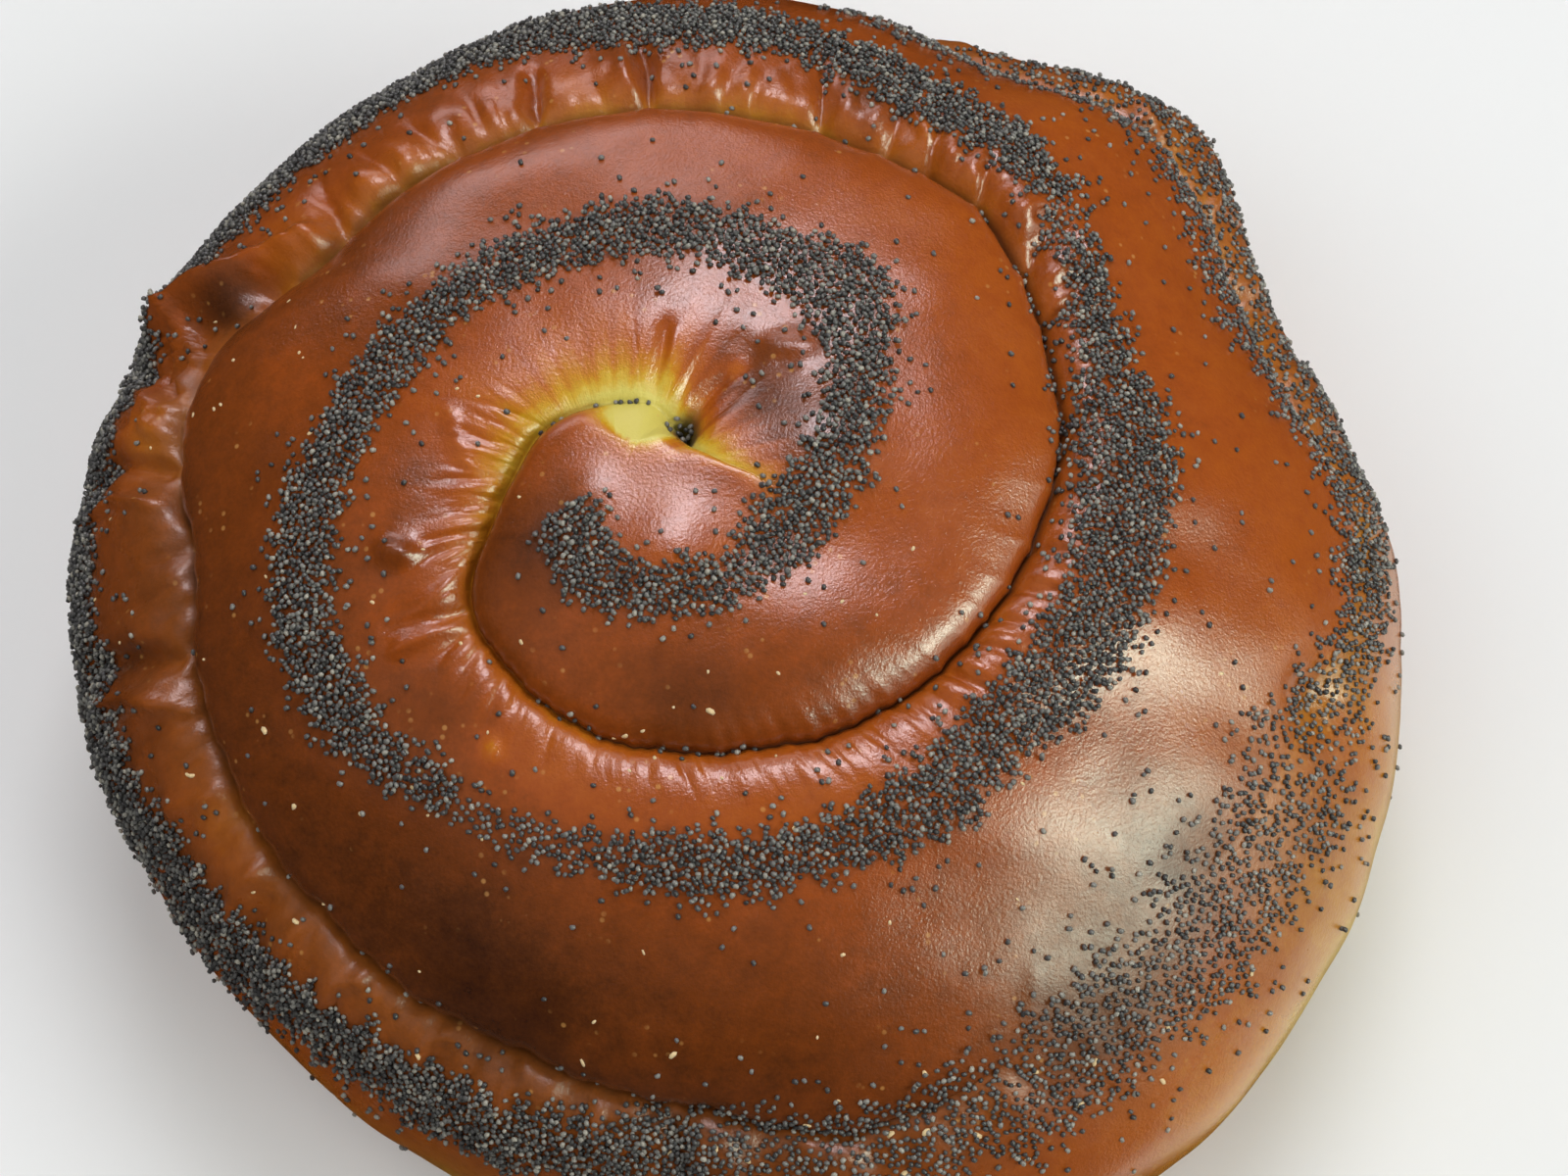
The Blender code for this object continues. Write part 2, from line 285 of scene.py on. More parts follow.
# The second turn is gathered along its inner side, where its skin stands in pillows that lap over
# the turn inside it, with a notch between each two. Rows of a notch's coil angle at the crease, its
# drift in degrees over its reach, its reach and its depth, and the next pillow's height.
NOTCHES = np.array((
    (312, 0.0, 300, 20, 10), (315.5, 0.0, 300, 30, 20), (321, -1.0, 360, 40, 30),
    (325.8, -0.5, 500, 70, 50), (332.4, 0.5, 400, 50, 40), (337.8, 0.5, 460, 60, 40),
    (343.8, 0.0, 500, 70, 50), (352.2, -1.5, 500, 80, 50), (362.4, 1.0, 340, 60, 50),
    (374.4, 1.0, 360, 70, 60), (389.4, 2.0, 420, 80, 70), (396.6, 4.5, 500, 120, 100),
    (409.2, 5.5, 600, 120, 100), (418.2, 4.0, 650, 120, 80), (424.8, 1.5, 850, 70, 100),
    (433.8, 4.8, 1100, 130, 90), (457.2, 0.6, 1100, 190, 100), (472.2, -2.4, 1100, 190, 90),
    (482.4, -1.5, 800, 70, 90), (499.8, -4.5, 1400, 120, 80), (509, 0.0, 500, 0, 0)
)) / (1, 1, FINE, FINE, FINE)
NOTCH_WIDTH = 0.00085
PILLOW_CURVE = 2.4
PILLOW_EDGE = 0.7
PILLOW_TALL = 0.001       # a pillow's height, in metres, at which it laps over by the whole scallop
PILLOW_PEAK = 0.28        # where a pillow is fullest and a notch deepest, as shares of its reach
NOTCH_PEAK = 0.22
NOTCH_SHARPNESS = 1.3
DRIFT_REACH = 0.012       # metres from the crease over which a notch drifts
SCALLOP = 0.0075          # share by which a pillow laps over the crease
# A narrow groove along the crease, on both its sides: its depth.
GROOVE = np.array((
    (-30, 0), (10, 0), (30, 100), (60, 40), (110, 60), (150, 100), (300, 100), (330, 120), (400, 130),
    (500, 150), (560, 130), (630, 100), (655, 0), (740, 0), (765, 80), (800, 80), (830, 0))) / (1, FINE)
GROOVE_REACH = 0.0007

# The head of the coil: rows of the crease's coil angle and the share at which its back starts to
# slope down into the pit, gently where it shows as a pale lens.
HEAD_CREST = (
    (-20, 0.09), (2, 0.135), (16, 0.104), (35, 0.085), (54, 0.068), (70, 0.055), (91, 0.05),
    (110, 0.06), (130, 0.085), (155, 0.09))

# How full the flanks beside a crease are, by the crease's coil angle: the outer turn's, the inner's.
FULLNESS = (
    (-150, 1.9, 2.3), (10, 1.9, 2.8), (38, 1.9, 2.6), (54, 1.9, 1.6), (66, 1.9, 1.15), (84, 1.9, 1.0),
    (104, 1.9, 1.05), (130, 1.9, 2.0), (200, 2.0, 2.6), (235, 3.0, 3.6), (340, 3.0, 3.6),
    (400, 2.3, 3.2), (510, 2.3, 3.2), (535, 3.0, 5.0), (640, 3.0, 5.0), (665, 2.2, 3.0),
    (840, 2.2, 2.3))

# Small waves of the crease's line: coil angle, then their size as a share.
CRINKLE = (
    (-150, 0), (205, 0), (225, 0.0016), (300, 0.002), (325, 0.0005), (510, 0.0005), (530, 0.0035),
    (640, 0.0035), (660, 0), (720, 0), (740, 0.004), (780, 0.004), (800, 0), (840, 0))
CRINKLE_WAVES = ((17, 1, 0), (41, 0.7, 1), (97, 0.5, 2))  # in each turn, their sizes and phases


CRUST_STEP = 0.5          # degrees of coil angle between sections
CRUST_ROWS = 60           # faces across the strand
ROW_CROWDING = 0.66       # how far the rows crowd towards the creases
SMALL_STEP = 1e-3


def read_off(table, angle, column=1):
    """A table's column at the given coil angles, on straight lines between its rows."""
    rows = np.array(table, float)
    return np.interp(angle, rows[:, 0], rows[:, column])


def hump(place):
    """Rises from 0 to 1 at place 1, and dies away beyond it."""
    return place * np.exp(1 - place)


def along(stations, angle):
    """Smooth curve through stations of (coil angle, value), read at the given coil angles."""
    at, value = np.array(stations, float).T
    slope = np.gradient(value, at)
    i = np.clip(np.searchsorted(at, angle) - 1, 0, len(at) - 2)
    span = at[i + 1] - at[i]
    u = np.clip((angle - at[i]) / span, 0, 1)
    start = (1 + 2 * u) * (1 - u) ** 2 * value[i] + u * (1 - u) ** 2 * span * slope[i]
    end = u * u * (3 - 2 * u) * value[i + 1] + u * u * (u - 1) * span * slope[i + 1]
    return start + end


def outline_radius(azimuth):
    """The loaf's plan radius, with the swells and knobs of its outline."""
    azimuth = np.asarray(azimuth, float)
    radians = np.radians(azimuth)
    radius = np.full_like(radians, LOAF_RADIUS)
    for waves, cosine, sine in SWELLS:
        radius += LOAF_RADIUS * (cosine * np.cos(waves * radians) + sine * np.sin(waves * radians))
    for middle, width, height in KNOBS:
        apart = np.mod(azimuth - middle + TURN / 2, TURN) - TURN / 2
        radius += height * np.exp(-(apart / width) ** 2)
    return radius


def smooth_dome(azimuth, share):
    """A point of the plain dome at a plan place, or of its side where the share is past 1."""
    radians = np.radians(azimuth)
    top = np.clip(share, 0, 1)
    down = np.clip((share - 1) / SIDE_SHARE, 0, 1) * math.pi / 2
    reach = outline_radius(azimuth) * top * (BASE_SHARE + (1 - BASE_SHARE) * np.cos(down))
    x = COIL_CENTRE[0] * (1 - top) + LOAF_CENTRE[0] * top + reach * np.cos(radians)
    y = COIL_CENTRE[1] * (1 - top) + LOAF_CENTRE[1] * top + reach * np.sin(radians)
    z = RIM_HEIGHT * (1 - np.sin(down)) + DOME_RISE * np.sqrt(1 - top ** DOME_FULLNESS)
    return np.stack([x, y, z], axis=-1)


def equal_path(share):
    """Plan share as a measure that runs evenly over the curve of the dome."""
    top = np.clip(share, 0, 1)
    return np.degrees(np.arcsin(top ** (DOME_FULLNESS / 2))) + SIDE_PATH * (np.maximum(share, 1) - 1)


def share_at(path):
    """The plan share of an equal path."""
    top = np.sin(np.radians(np.clip(path, 0, 90))) ** (2 / DOME_FULLNESS)
    return top + np.maximum(path - 90, 0) / SIDE_PATH


def outward(azimuth, share):
    """The way out of the dome at a plan place."""
    low = np.clip(equal_path(share) - 0.5, 0.2, None)
    across = smooth_dome(azimuth, share_at(low + 1)) - smooth_dome(azimuth, share_at(low))
    ring = np.clip(share, 0.02, None)
    along_ring = smooth_dome(azimuth + SMALL_STEP, ring) - smooth_dome(azimuth - SMALL_STEP, ring)
    normal = np.cross(across, along_ring)
    return normal / np.linalg.norm(normal, axis=-1, keepdims=True)


def between_notches(angle):
    """The notch before each coil angle, the place between it and the next, and both their angles."""
    foot = NOTCHES[:, 0]
    n = np.clip(np.searchsorted(foot, angle) - 1, 0, len(foot) - 2)
    return n, np.clip((angle - foot[n]) / (foot[n + 1] - foot[n]), 0, 1), foot[n], foot[n + 1]


def pillow(angle):
    """The outline of the pillows: 0 at a notch, rising steeply to 1 between two."""
    n, place, _, _ = between_notches(angle)
    return (1 - np.abs(2 * place - 1) ** PILLOW_CURVE) ** PILLOW_EDGE, NOTCHES[n, 4]


def crease_line(angle):
    """The crease's plan share, with the pillows' scallops and the small crinkles."""
    bulge, height = pillow(angle)
    turn = np.radians(angle)
    wave = sum(size * np.sin(count * turn + phase) for count, size, phase in CRINKLE_WAVES)
    crinkle = read_off(CRINKLE, angle) * wave
    return along(CREASE, angle) - SCALLOP * (bulge - 0.5) * height / PILLOW_TALL + crinkle


def inner_crease(angle):
    return np.where(angle <= COIL_START, 0, crease_line(angle))


def outer_crease(angle):
    return np.where(angle + TURN >= COIL_END, FOOT, crease_line(angle + TURN))


def crease_depth(angle):
    inside = (angle > COIL_START) & (angle < COIL_END)
    return np.where(inside, along(CREASE_DEPTH, angle), 0)


def across_strand(angle, share):
    """Equal paths of the strand's inner crease, its crest, its outer crease and the place itself."""
    inner, outer = equal_path(inner_crease(angle)), equal_path(outer_crease(angle))
    on_head = read_off(HEAD_CREST, angle + TURN)
    beyond = along(CREST, np.maximum(angle, COIL_START))
    crest = equal_path(np.where(angle < HEAD_CREST[-1][0] - TURN, on_head, beyond))
    low, high = (inner + part * (outer - inner) for part in CREST_RANGE)
    return inner, np.clip(crest, low, high), outer, equal_path(share)


def flank(u, fullness):
    """A flank's rise from its crease to its crest, both as 0 to 1."""
    return (1 - (1 - np.clip(u, 0, 1)) ** fullness) ** (1 / fullness)


def above_foot(share):
    """1 on the loaf, falling to 0 at its foot."""
    return np.clip((FOOT - share) / (FOOT - FLAT_FROM), 0, 1)


def relief(angle, share):
    """The main form over the smooth dome: creases, pleats and blisters as in the solid."""
    inner, crest, outer, path = across_strand(angle, share)
    full_in = read_off(FULLNESS, angle)
    full_out = read_off(FULLNESS, angle + TURN, 2)
    rise = flank((path - inner) / np.maximum(crest - inner, LEAST_PATH), full_in)
    fall = flank((outer - path) / np.maximum(outer - crest, LEAST_PATH), full_out)
    height = -crease_depth(angle) * (1 - rise) - crease_depth(angle + TURN) * (1 - fall)
    from_crease = np.clip(share - inner_crease(angle), 0, None) * LOAF_RADIUS
    to_crease = np.clip(outer_crease(angle) - share, 0, None) * LOAF_RADIUS
    height -= np.maximum(along(GROOVE, angle), 0) * np.exp(-from_crease / GROOVE_REACH)
    height -= np.maximum(along(GROOVE, angle + TURN), 0) * np.exp(-to_crease / GROOVE_REACH)
    to_next = np.clip((outer - path) / np.maximum(outer - inner, LEAST_PATH), 0, 1)
    for at, width, reach, size in PLEATS:
        beside = (angle - at) * np.pi / 180 * share * LOAF_RADIUS / width
        beyond = from_crease / (PLEAT_PEAK * reach)
        near = np.abs(angle - at) < PLEAT_SPAN
        height += near * size * np.exp(-beside ** 2) * hump(beyond) * to_next
    places = smooth_dome(np.mod(angle, TURN), share)
    for azimuth, middle, radius, size in BLISTERS:
        away = np.linalg.norm(places - smooth_dome(azimuth, middle), axis=-1)
        height += size * np.exp(-(away / radius) ** 2)
    foot = above_foot(share)
    return height * foot * foot * (3 - 2 * foot)


# The gathers: fine tucks that cross the inner flank, where the skin of the strand was too long for
# the inside of the bend. Stations of coil angle, then depth, spacing and reach.
GATHER_DEPTH = np.array((
    (20, 0), (50, 12), (120, 16), (180, 30), (225, 30), (260, 22), (300, 26), (350, 24), (400, 12),
    (470, 12), (520, 50), (570, 40), (640, 30), (665, 0), (725, 0), (745, 30), (800, 30), (830, 0)
)) / (1, FINE)
GATHER_SPACING = np.array((
    (20, 160), (180, 240), (260, 150), (340, 180), (400, 220), (470, 240), (520, 280), (560, 320),
    (640, 280), (830, 300))) / (1, FINE)
GATHER_REACH = np.array((
    (20, 600), (180, 600), (240, 350), (330, 400), (400, 600), (470, 800), (560, 900), (640, 500),
    (830, 500))) / (1, FINE)
GATHER_DRAW = 11
# A tuck's spacing, depth and reach are drawn between these parts of the stations' values, and its
# width between these parts of its spacing.
SPACING_RANGE = (0.35, 1.8)
DEPTH_RANGE = (0.2, 1.7)
REACH_RANGE = (0.5, 1.5)
WIDTH_RANGE = (0.16, 0.34)
SLANT_RANGE = (-0.4, 0.4)
BAND_INSIDE = 0.003       # metres from the crease at which the spacing is measured
GATHER_SPAN = 14          # degrees each side that a tuck can touch
LEAST_SHARE = 0.05        # the least distance from the coil's centre, as a share of the radius
OUTER_FADE = 4            # fine relief dies away over the last quarter before the outer crease
TUCK_PEAK = 0.3           # where a tuck is deepest, as a share of its reach

# Larger folds in the skin: half width and height in hundredths of a millimetre, then the coil
# angles and the shares, in thousandths, of the line that each follows. A negative height is a
# furrow.
FOLDS = (
    # the furrows above and right of the pit, and the long blister beside them
    (120, -50, 83.5, 225, 82, 190, 81, 150, 80, 126),
    (70, -30, 60, 150, 55, 178, 50, 205),
    (170, 60, 50, 250, 47, 264, 44, 276),
    (100, -20, 60, 243, 54, 231, 47, 236, 42, 252),
    (80, -30, 54, 145, 54.5, 165, 53.4, 183),
    (70, 30, 80.5, 222, 79, 200, 78, 180),
    (120, 120, 196.5, 372, 194.4, 391),
    # left of the head: a glossy crease beside the blister, and two folds that run into the crease
    (90, 40, 160, 300, 168, 270, 176, 240),
    (80, 90, 212, 460, 214, 400, 218, 345),
    (80, -70, 208, 450, 211, 390, 214, 340),
    # the top of the second turn: a notch, a pinch, a ridge and a torn flap
    (110, -140, 471, 760, 471.6, 725, 472, 705),
    (100, -100, 458.5, 760, 457.5, 700, 457, 665),
    (120, 80, 460.5, 760, 460, 700, 459, 672),
    (100, 120, 425, 740, 424, 700, 421.5, 672),
    (60, -120, 397, 685, 402, 668, 403, 640),
    (70, 60, 394, 675, 399, 660, 400, 640),
    # the pocket at the left: a ridge along its top, a deep facet below it and a twisted fold
    (200, 260, 516.5, 915, 512, 855, 507.5, 795, 503, 742),
    (340, -340, 517, 860, 513.5, 810, 510, 765),
    (90, 180, 515.5, 895, 517.5, 868, 519.5, 850, 522.5, 845),
    (70, 130, 518, 885, 520.5, 868, 524, 862, 527.5, 856),
    (60, -120, 517.5, 905, 520, 880, 524, 875),
    (60, 90, 520.5, 905, 523, 885, 527, 880),
    (60, -90, 519, 858, 522, 853, 525.5, 850),
    # ridges across the left strip, each with its furrow
    (110, 120, 521.5, 965, 523.5, 900, 526, 830),
    (150, -80, 519.5, 965, 521.5, 910),
    (70, 140, 536, 955, 534.8, 890, 537, 800),
    (150, -180, 532.5, 955, 531, 895, 532.5, 820),
    (80, 150, 552.5, 950, 554.5, 885, 559.5, 810),
    (170, -220, 549, 950, 550.5, 885, 554, 815),
    # kinks in the rolled lip at the lower left
    (120, 100, 566, 900, 567.5, 860, 568, 835),
    (120, 120, 577, 930, 576, 890, 576.5, 866),
    (100, -90, 579.5, 920, 579, 885),
    (110, 100, 589, 920, 590, 885, 591.5, 868),
    (100, 120, 600, 910, 600.5, 885, 601.5, 868),
    (100, 90, 609, 900, 609.5, 875),
    (100, 90, 618, 885, 618.5, 860),
    # the smooth front: a blemish where the second turn was pinched
    (90, 20, 301, 790, 303, 768, 304, 750),
    (120, -15, 299, 785, 301, 765),
    # the tail: a shallow bowl in the skin with a raised rim, and crumpled skin on the knob
    (70, 60, 704, 895, 706.5, 872, 710, 868, 712.5, 885),
    (100, 70, 727, 925, 726, 950),
    (100, 80, 739, 925, 741, 950),
    (120, 90, 748, 930, 751, 955),
    (100, -80, 744, 925, 746, 950),
    (100, 90, 757, 920, 760, 945),
    (120, -80, 763, 920, 765, 945),
    (120, 100, 768, 910, 771, 935),
)
FOLD_SPAN = 25            # degrees each side of a fold's line that it can touch
CREASE_HOLD = 0.001       # metres beside a crease over which folds die away
# The skin is crumpled where it was gathered or twisted: coil angle, then the height.
CRUMPLE = np.array((
    (140, 0), (175, 22), (215, 22), (240, 10), (300, 12), (385, 30), (430, 55), (505, 55), (525, 60),
    (560, 45), (640, 45), (665, 10), (715, 10), (730, 30), (790, 30), (815, 0))) / (1, FINE)
CRUMPLE_REACH = 0.009
CRUMPLE_START = 0.0012    # metres from the crease over which it sets in
CRUMPLE_SCALE = (0.06, 0.45)  # metres for each radian along the strand, and how far it is drawn out
CRUMPLE_WAVES = ((0.0075, 1, 7), (0.0034, 0.4, 8))  # wavelength, share of the height, and draw
CRUMPLE_MEAN = 0.8
LIP_SPAN = (530, 655)     # coil angles between which the skin's edge is rolled beside the crease
LIP_FADE = 15
LIP_HEIGHT = 0.00025
LIP_PLACE = 0.0011
LIP_WAVE = 30             # degrees of coil from one swelling of the lip to the next
LIP_RIPPLE = 17           # its finer ripples in each turn
LIP_SWELL = 0.5
# The loaf's soft unevenness: wavelength, height and draw. Each is a sum of some plane waves.
UNEVEN = ((0.022, 0.00022, 3), (0.009, 0.00003, 5))
WAVE_COUNT = 14
WAVE_RANGE = (0.7, 1.4)   # parts of the wavelength between which each wave's own length lies


def waves(points, wavelength, height, draw):
    """Soft unevenness: a sum of seeded plane waves of about one wavelength."""
    dice = np.random.default_rng(draw)
    total = np.zeros(points.shape[:-1])
    for _ in range(WAVE_COUNT):
        way = dice.normal(size=3)
        way *= 2 * np.pi / (wavelength * dice.uniform(*WAVE_RANGE) * np.linalg.norm(way))
        total += np.sin(points @ way + dice.uniform(0, 2 * np.pi))
    return height * total / math.sqrt(WAVE_COUNT / 2)


def gathers():
    """Places, widths, reaches, depths and slants of the tucks, drawn one after another."""
    dice = random.Random(GATHER_DRAW)
    tucks = []
    at = GATHER_DEPTH[0][0]
    while at < GATHER_DEPTH[-1][0]:
        radius = float(along(CREASE, np.array(at))) * LOAF_RADIUS + BAND_INSIDE
        spacing = float(along(GATHER_SPACING, np.array(at))) * dice.uniform(*SPACING_RANGE)
        depth = max(float(along(GATHER_DEPTH, np.array(at))), 0) * dice.uniform(*DEPTH_RANGE)
        reach = float(along(GATHER_REACH, np.array(at))) * dice.uniform(*REACH_RANGE)
        width = spacing * dice.uniform(*WIDTH_RANGE)
        tucks.append((at, width, reach, depth, dice.uniform(*SLANT_RANGE)))
        at += math.degrees(spacing / radius)
    return tucks


TUCKS = gathers()


def off_line(places, line):
    """Distance of each place from a line through points, in space."""
    nearest = np.full(places.shape[:-1], np.inf)
    for start, end in zip(line, line[1:]):
        run = end - start
        share = np.clip(((places - start) @ run) / (run @ run), 0, 1)
        away = np.linalg.norm(places - start - share[..., None] * run, axis=-1)
        nearest = np.minimum(nearest, away)
    return nearest


def pillows(angle, from_crease, radius):
    """The gathered skin's height: pillows that are fullest a little way from the crease."""
    drift = read_off(NOTCHES, angle) / read_off(NOTCHES, angle, 2)
    foot = angle - drift * np.minimum(from_crease, DRIFT_REACH)
    n, _, before, after = between_notches(foot)
    bulge, fullness = pillow(foot)
    nearer = foot - before < after - foot
    notch = np.where(nearer, n, n + 1)
    away = np.radians(np.minimum(np.abs(foot - before), np.abs(after - foot))) * radius
    swelling = hump(from_crease / (PILLOW_PEAK * read_off(NOTCHES, foot, 2)))
    cut = hump(from_crease / (NOTCH_PEAK * NOTCHES[notch, 2]))
    cut = cut * np.exp(-(away / NOTCH_WIDTH) ** NOTCH_SHARPNESS)
    inside = (foot > NOTCHES[0, 0]) & (foot < NOTCHES[-1, 0])
    return inside * (fullness * bulge * swelling - NOTCHES[notch, 3] * cut)


def crumple(angle, from_crease):
    """Sharp creases that run mostly across the strand, with round skin between them."""
    coil, drawn = CRUMPLE_SCALE
    flat = np.stack([np.radians(angle) * coil, drawn * from_crease, np.zeros(angle.shape)], axis=-1)
    ridges = sum(size * np.abs(waves(flat, length, 1.0, draw)) for length, size, draw in CRUMPLE_WAVES)
    ridges = ridges - CRUMPLE_MEAN
    hold = np.minimum(from_crease / CRUMPLE_START, 1) * np.exp(-(from_crease / CRUMPLE_REACH) ** 4)
    return np.maximum(along(CRUMPLE, angle), 0) * hold * ridges


def fine_relief(angle, share):
    """Tucks, folds and the rolled lip beside the crease, dying away at both creases."""
    angle, share = np.broadcast_arrays(angle, share)
    inner, outer = equal_path(inner_crease(angle)), equal_path(outer_crease(angle))
    from_crease = np.clip(share - inner_crease(angle), 0, None) * LOAF_RADIUS
    inside = np.clip((outer - equal_path(share)) / np.maximum(outer - inner, LEAST_PATH), 0, 1)
    radius = np.maximum(share, LEAST_SHARE) * LOAF_RADIUS
    height = np.zeros(angle.shape)
    for at, width, reach, depth, slant in TUCKS:
        near = np.abs(angle - at) < GATHER_SPAN
        beside = np.radians(angle[near] - at) * radius[near] - slant * from_crease[near]
        beyond = hump(from_crease[near] / (TUCK_PEAK * reach))
        height[near] -= depth * np.exp(-np.abs(beside / width) ** NOTCH_SHARPNESS) * beyond
    height += pillows(angle, from_crease, radius) + crumple(angle, from_crease)
    hold = 1 - np.exp(-(from_crease / CREASE_HOLD) ** 2)
    for width, size, *line in FOLDS:
        turns, shares = (np.array(line).reshape(-1, 2) / (1, 1000)).T
        near = (angle > turns.min() - FOLD_SPAN) & (angle < turns.max() + FOLD_SPAN)
        points = smooth_dome(np.mod(turns, TURN), shares)
        away = off_line(smooth_dome(np.mod(angle[near], TURN), share[near]), points)
        fold = np.exp(-(away / (width / FINE)) ** 2)
        height[near] += size / FINE * hold[near] * fold
    ripple = np.sin(np.radians(angle * TURN / LIP_WAVE)) * np.sin(np.radians(angle * LIP_RIPPLE))
    deep = [np.clip(beyond / LIP_FADE, 0, 1) for beyond in (angle - LIP_SPAN[0], LIP_SPAN[1] - angle)]
    height += LIP_HEIGHT * (1 + LIP_SWELL * ripple) * hump(from_crease / LIP_PLACE) * deep[0] * deep[1]
    return height * np.minimum(inside * OUTER_FADE, 1)


def crust_point(angle, share):
    """A point of the crust at a coil angle and plan share."""
    azimuth = np.mod(angle, TURN)
    base = smooth_dome(azimuth, share)
    uneven = sum(waves(base, *row) for row in UNEVEN)
    height = relief(angle, share) + fine_relief(angle, share) + uneven * above_foot(share)
    return base + height[..., None] * outward(azimuth, share)


def crust_grid():
    """Coil angles and plan shares of the crust's points, the rows crowded towards the creases."""
    angles = np.arange(COIL_START - TURN, COIL_END + CRUST_STEP / 2, CRUST_STEP)[:, None]
    even = np.linspace(0, 1, CRUST_ROWS + 1)[None, :]
    across = (1 - ROW_CROWDING) * even + ROW_CROWDING * (1 - np.cos(np.pi * even)) / 2
    inner, outer = equal_path(inner_crease(angles)), equal_path(outer_crease(angles))
    shares = share_at(inner + (outer - inner) * across)
    return np.broadcast_to(angles, shares.shape).copy(), shares


def crust_faces(columns, rows):
    """Triangles of the grid, in its own numbers and with the shared creases welded into one."""
    own = np.arange(columns * rows).reshape(columns, rows)
    welded = own.copy()
    turn = round(TURN / CRUST_STEP)
    welded[:turn + 1, 0] = 0
    welded[0] = 0
    welded[-1] = welded[-1, 0]
    welded[:columns - turn, -1] = welded[turn:, 0]
    a, b, c, d = own[:-1, :-1], own[:-1, 1:], own[1:, 1:], own[1:, :-1]
    triangles = np.concatenate([np.stack(three, -1).reshape(-1, 3) for three in ((a, b, c), (a, c, d))])
    joined = welded.ravel()[triangles]
    whole = np.all(joined != np.roll(joined, -1, axis=1), axis=1)
    rim = welded[columns - 1 - turn:, -1]
    return triangles[whole], joined[whole], rim


crust_angles, crust_shares = crust_grid()
crust_points = crust_point(crust_angles, crust_shares)
own_corners, welded_corners, rim = crust_faces(*crust_angles.shape)
used, compact = np.unique(welded_corners, return_inverse=True)
compact = compact.reshape(-1, 3)
underside = len(used)
rim = np.searchsorted(used, rim)
fan = np.stack([np.full(len(rim) - 1, underside), rim[1:], rim[:-1]], -1)
crust_vertices = np.vstack([crust_points.reshape(-1, 3)[used], [(*LOAF_CENTRE, 0)]])
crust_mesh = bpy.data.meshes.new("crust")
crust_mesh.from_pydata(crust_vertices, [], np.vstack([compact, fan]), shade_flat=False)
crust = put_in_scene("challah_crust", crust_mesh)


# How far each part has browned, from 0 for pale dough to 100 for nearly black; the left side, which faces
# away from the windows, is also made darker here for painted shade. Rows of coil angle, then the value on
# the inner flank, on the crest and on the outer flank of the strand.
BROWNING_AND_SHADE = np.array((
    (-510, 60, 60, 58), (-360, 58, 58, 52), (-300, 56, 56, 50), (-240, 58, 60, 55), (-180, 62, 68, 66),
    (-150, 62, 70, 70), (-90, 58, 62, 70), (-30, 58, 58, 62), (0, 66, 60, 58), (30, 68, 60, 60),
    (60, 66, 62, 60), (90, 62, 64, 62), (120, 58, 66, 66), (150, 60, 70, 72), (180, 62, 74, 78),
    (210, 62, 74, 86), (240, 60, 68, 88), (270, 58, 64, 82), (300, 56, 60, 68), (330, 58, 58, 56),
    (360, 62, 58, 56), (400, 62, 60, 60), (430, 60, 62, 64), (480, 66, 66, 62), (510, 64, 68, 60),
    (560, 68, 78, 64), (600, 68, 78, 62), (640, 72, 66, 54), (670, 60, 50, 48), (700, 50, 46, 44),
    (730, 54, 52, 48), (760, 58, 54, 50), (840, 50, 50, 50))) / (1, 100, 100, 100)

# Beside a crease the dough was covered longer and stayed paler; but on the inner turn's side of the
# creases at the lower left (coil 560 to 640) the values are darker, for painted shade under the rolled
# lip. Rows of the crease's coil angle, then the value and its reach on the outer turn's side, and on the
# inner turn's side.
BESIDE_CREASE = np.array((
    (-30, 60, 100, 60, 100), (-8, 45, 300, 36, 180), (0, 16, 450, 20, 220), (8, 6, 550, 14, 250),
    (15, 0, 600, 10, 300), (30, -4, 550, -2, 360), (50, -6, 620, -8, 420), (75, -5, 700, -8, 520),
    (95, -2, 700, 2, 440), (112, 0, 700, 20, 240), (130, 3, 700, 34, 140), (160, 8, 680, 42, 100),
    (180, 14, 600, 46, 100), (200, 26, 600, 50, 100), (220, 36, 450, 55, 100), (260, 36, 400, 62, 100),
    (300, 42, 300, 60, 100), (340, 42, 250, 45, 250), (380, 42, 250, 45, 300), (410, 30, 400, 50, 200),
    (440, 25, 460, 56, 150), (470, 24, 480, 60, 150), (500, 26, 560, 66, 150), (520, 34, 600, 76, 200),
    (560, 48, 300, 94, 240), (600, 50, 200, 94, 240), (640, 70, 200, 88, 200), (670, 55, 300, 55, 300),
    (700, 40, 600, 44, 400), (730, 44, 500, 48, 300), (760, 40, 400, 52, 200), (780, 30, 400, 55, 200),
    (840, 50, 300, 50, 300))) / (1, 100, FINE, 100, FINE)
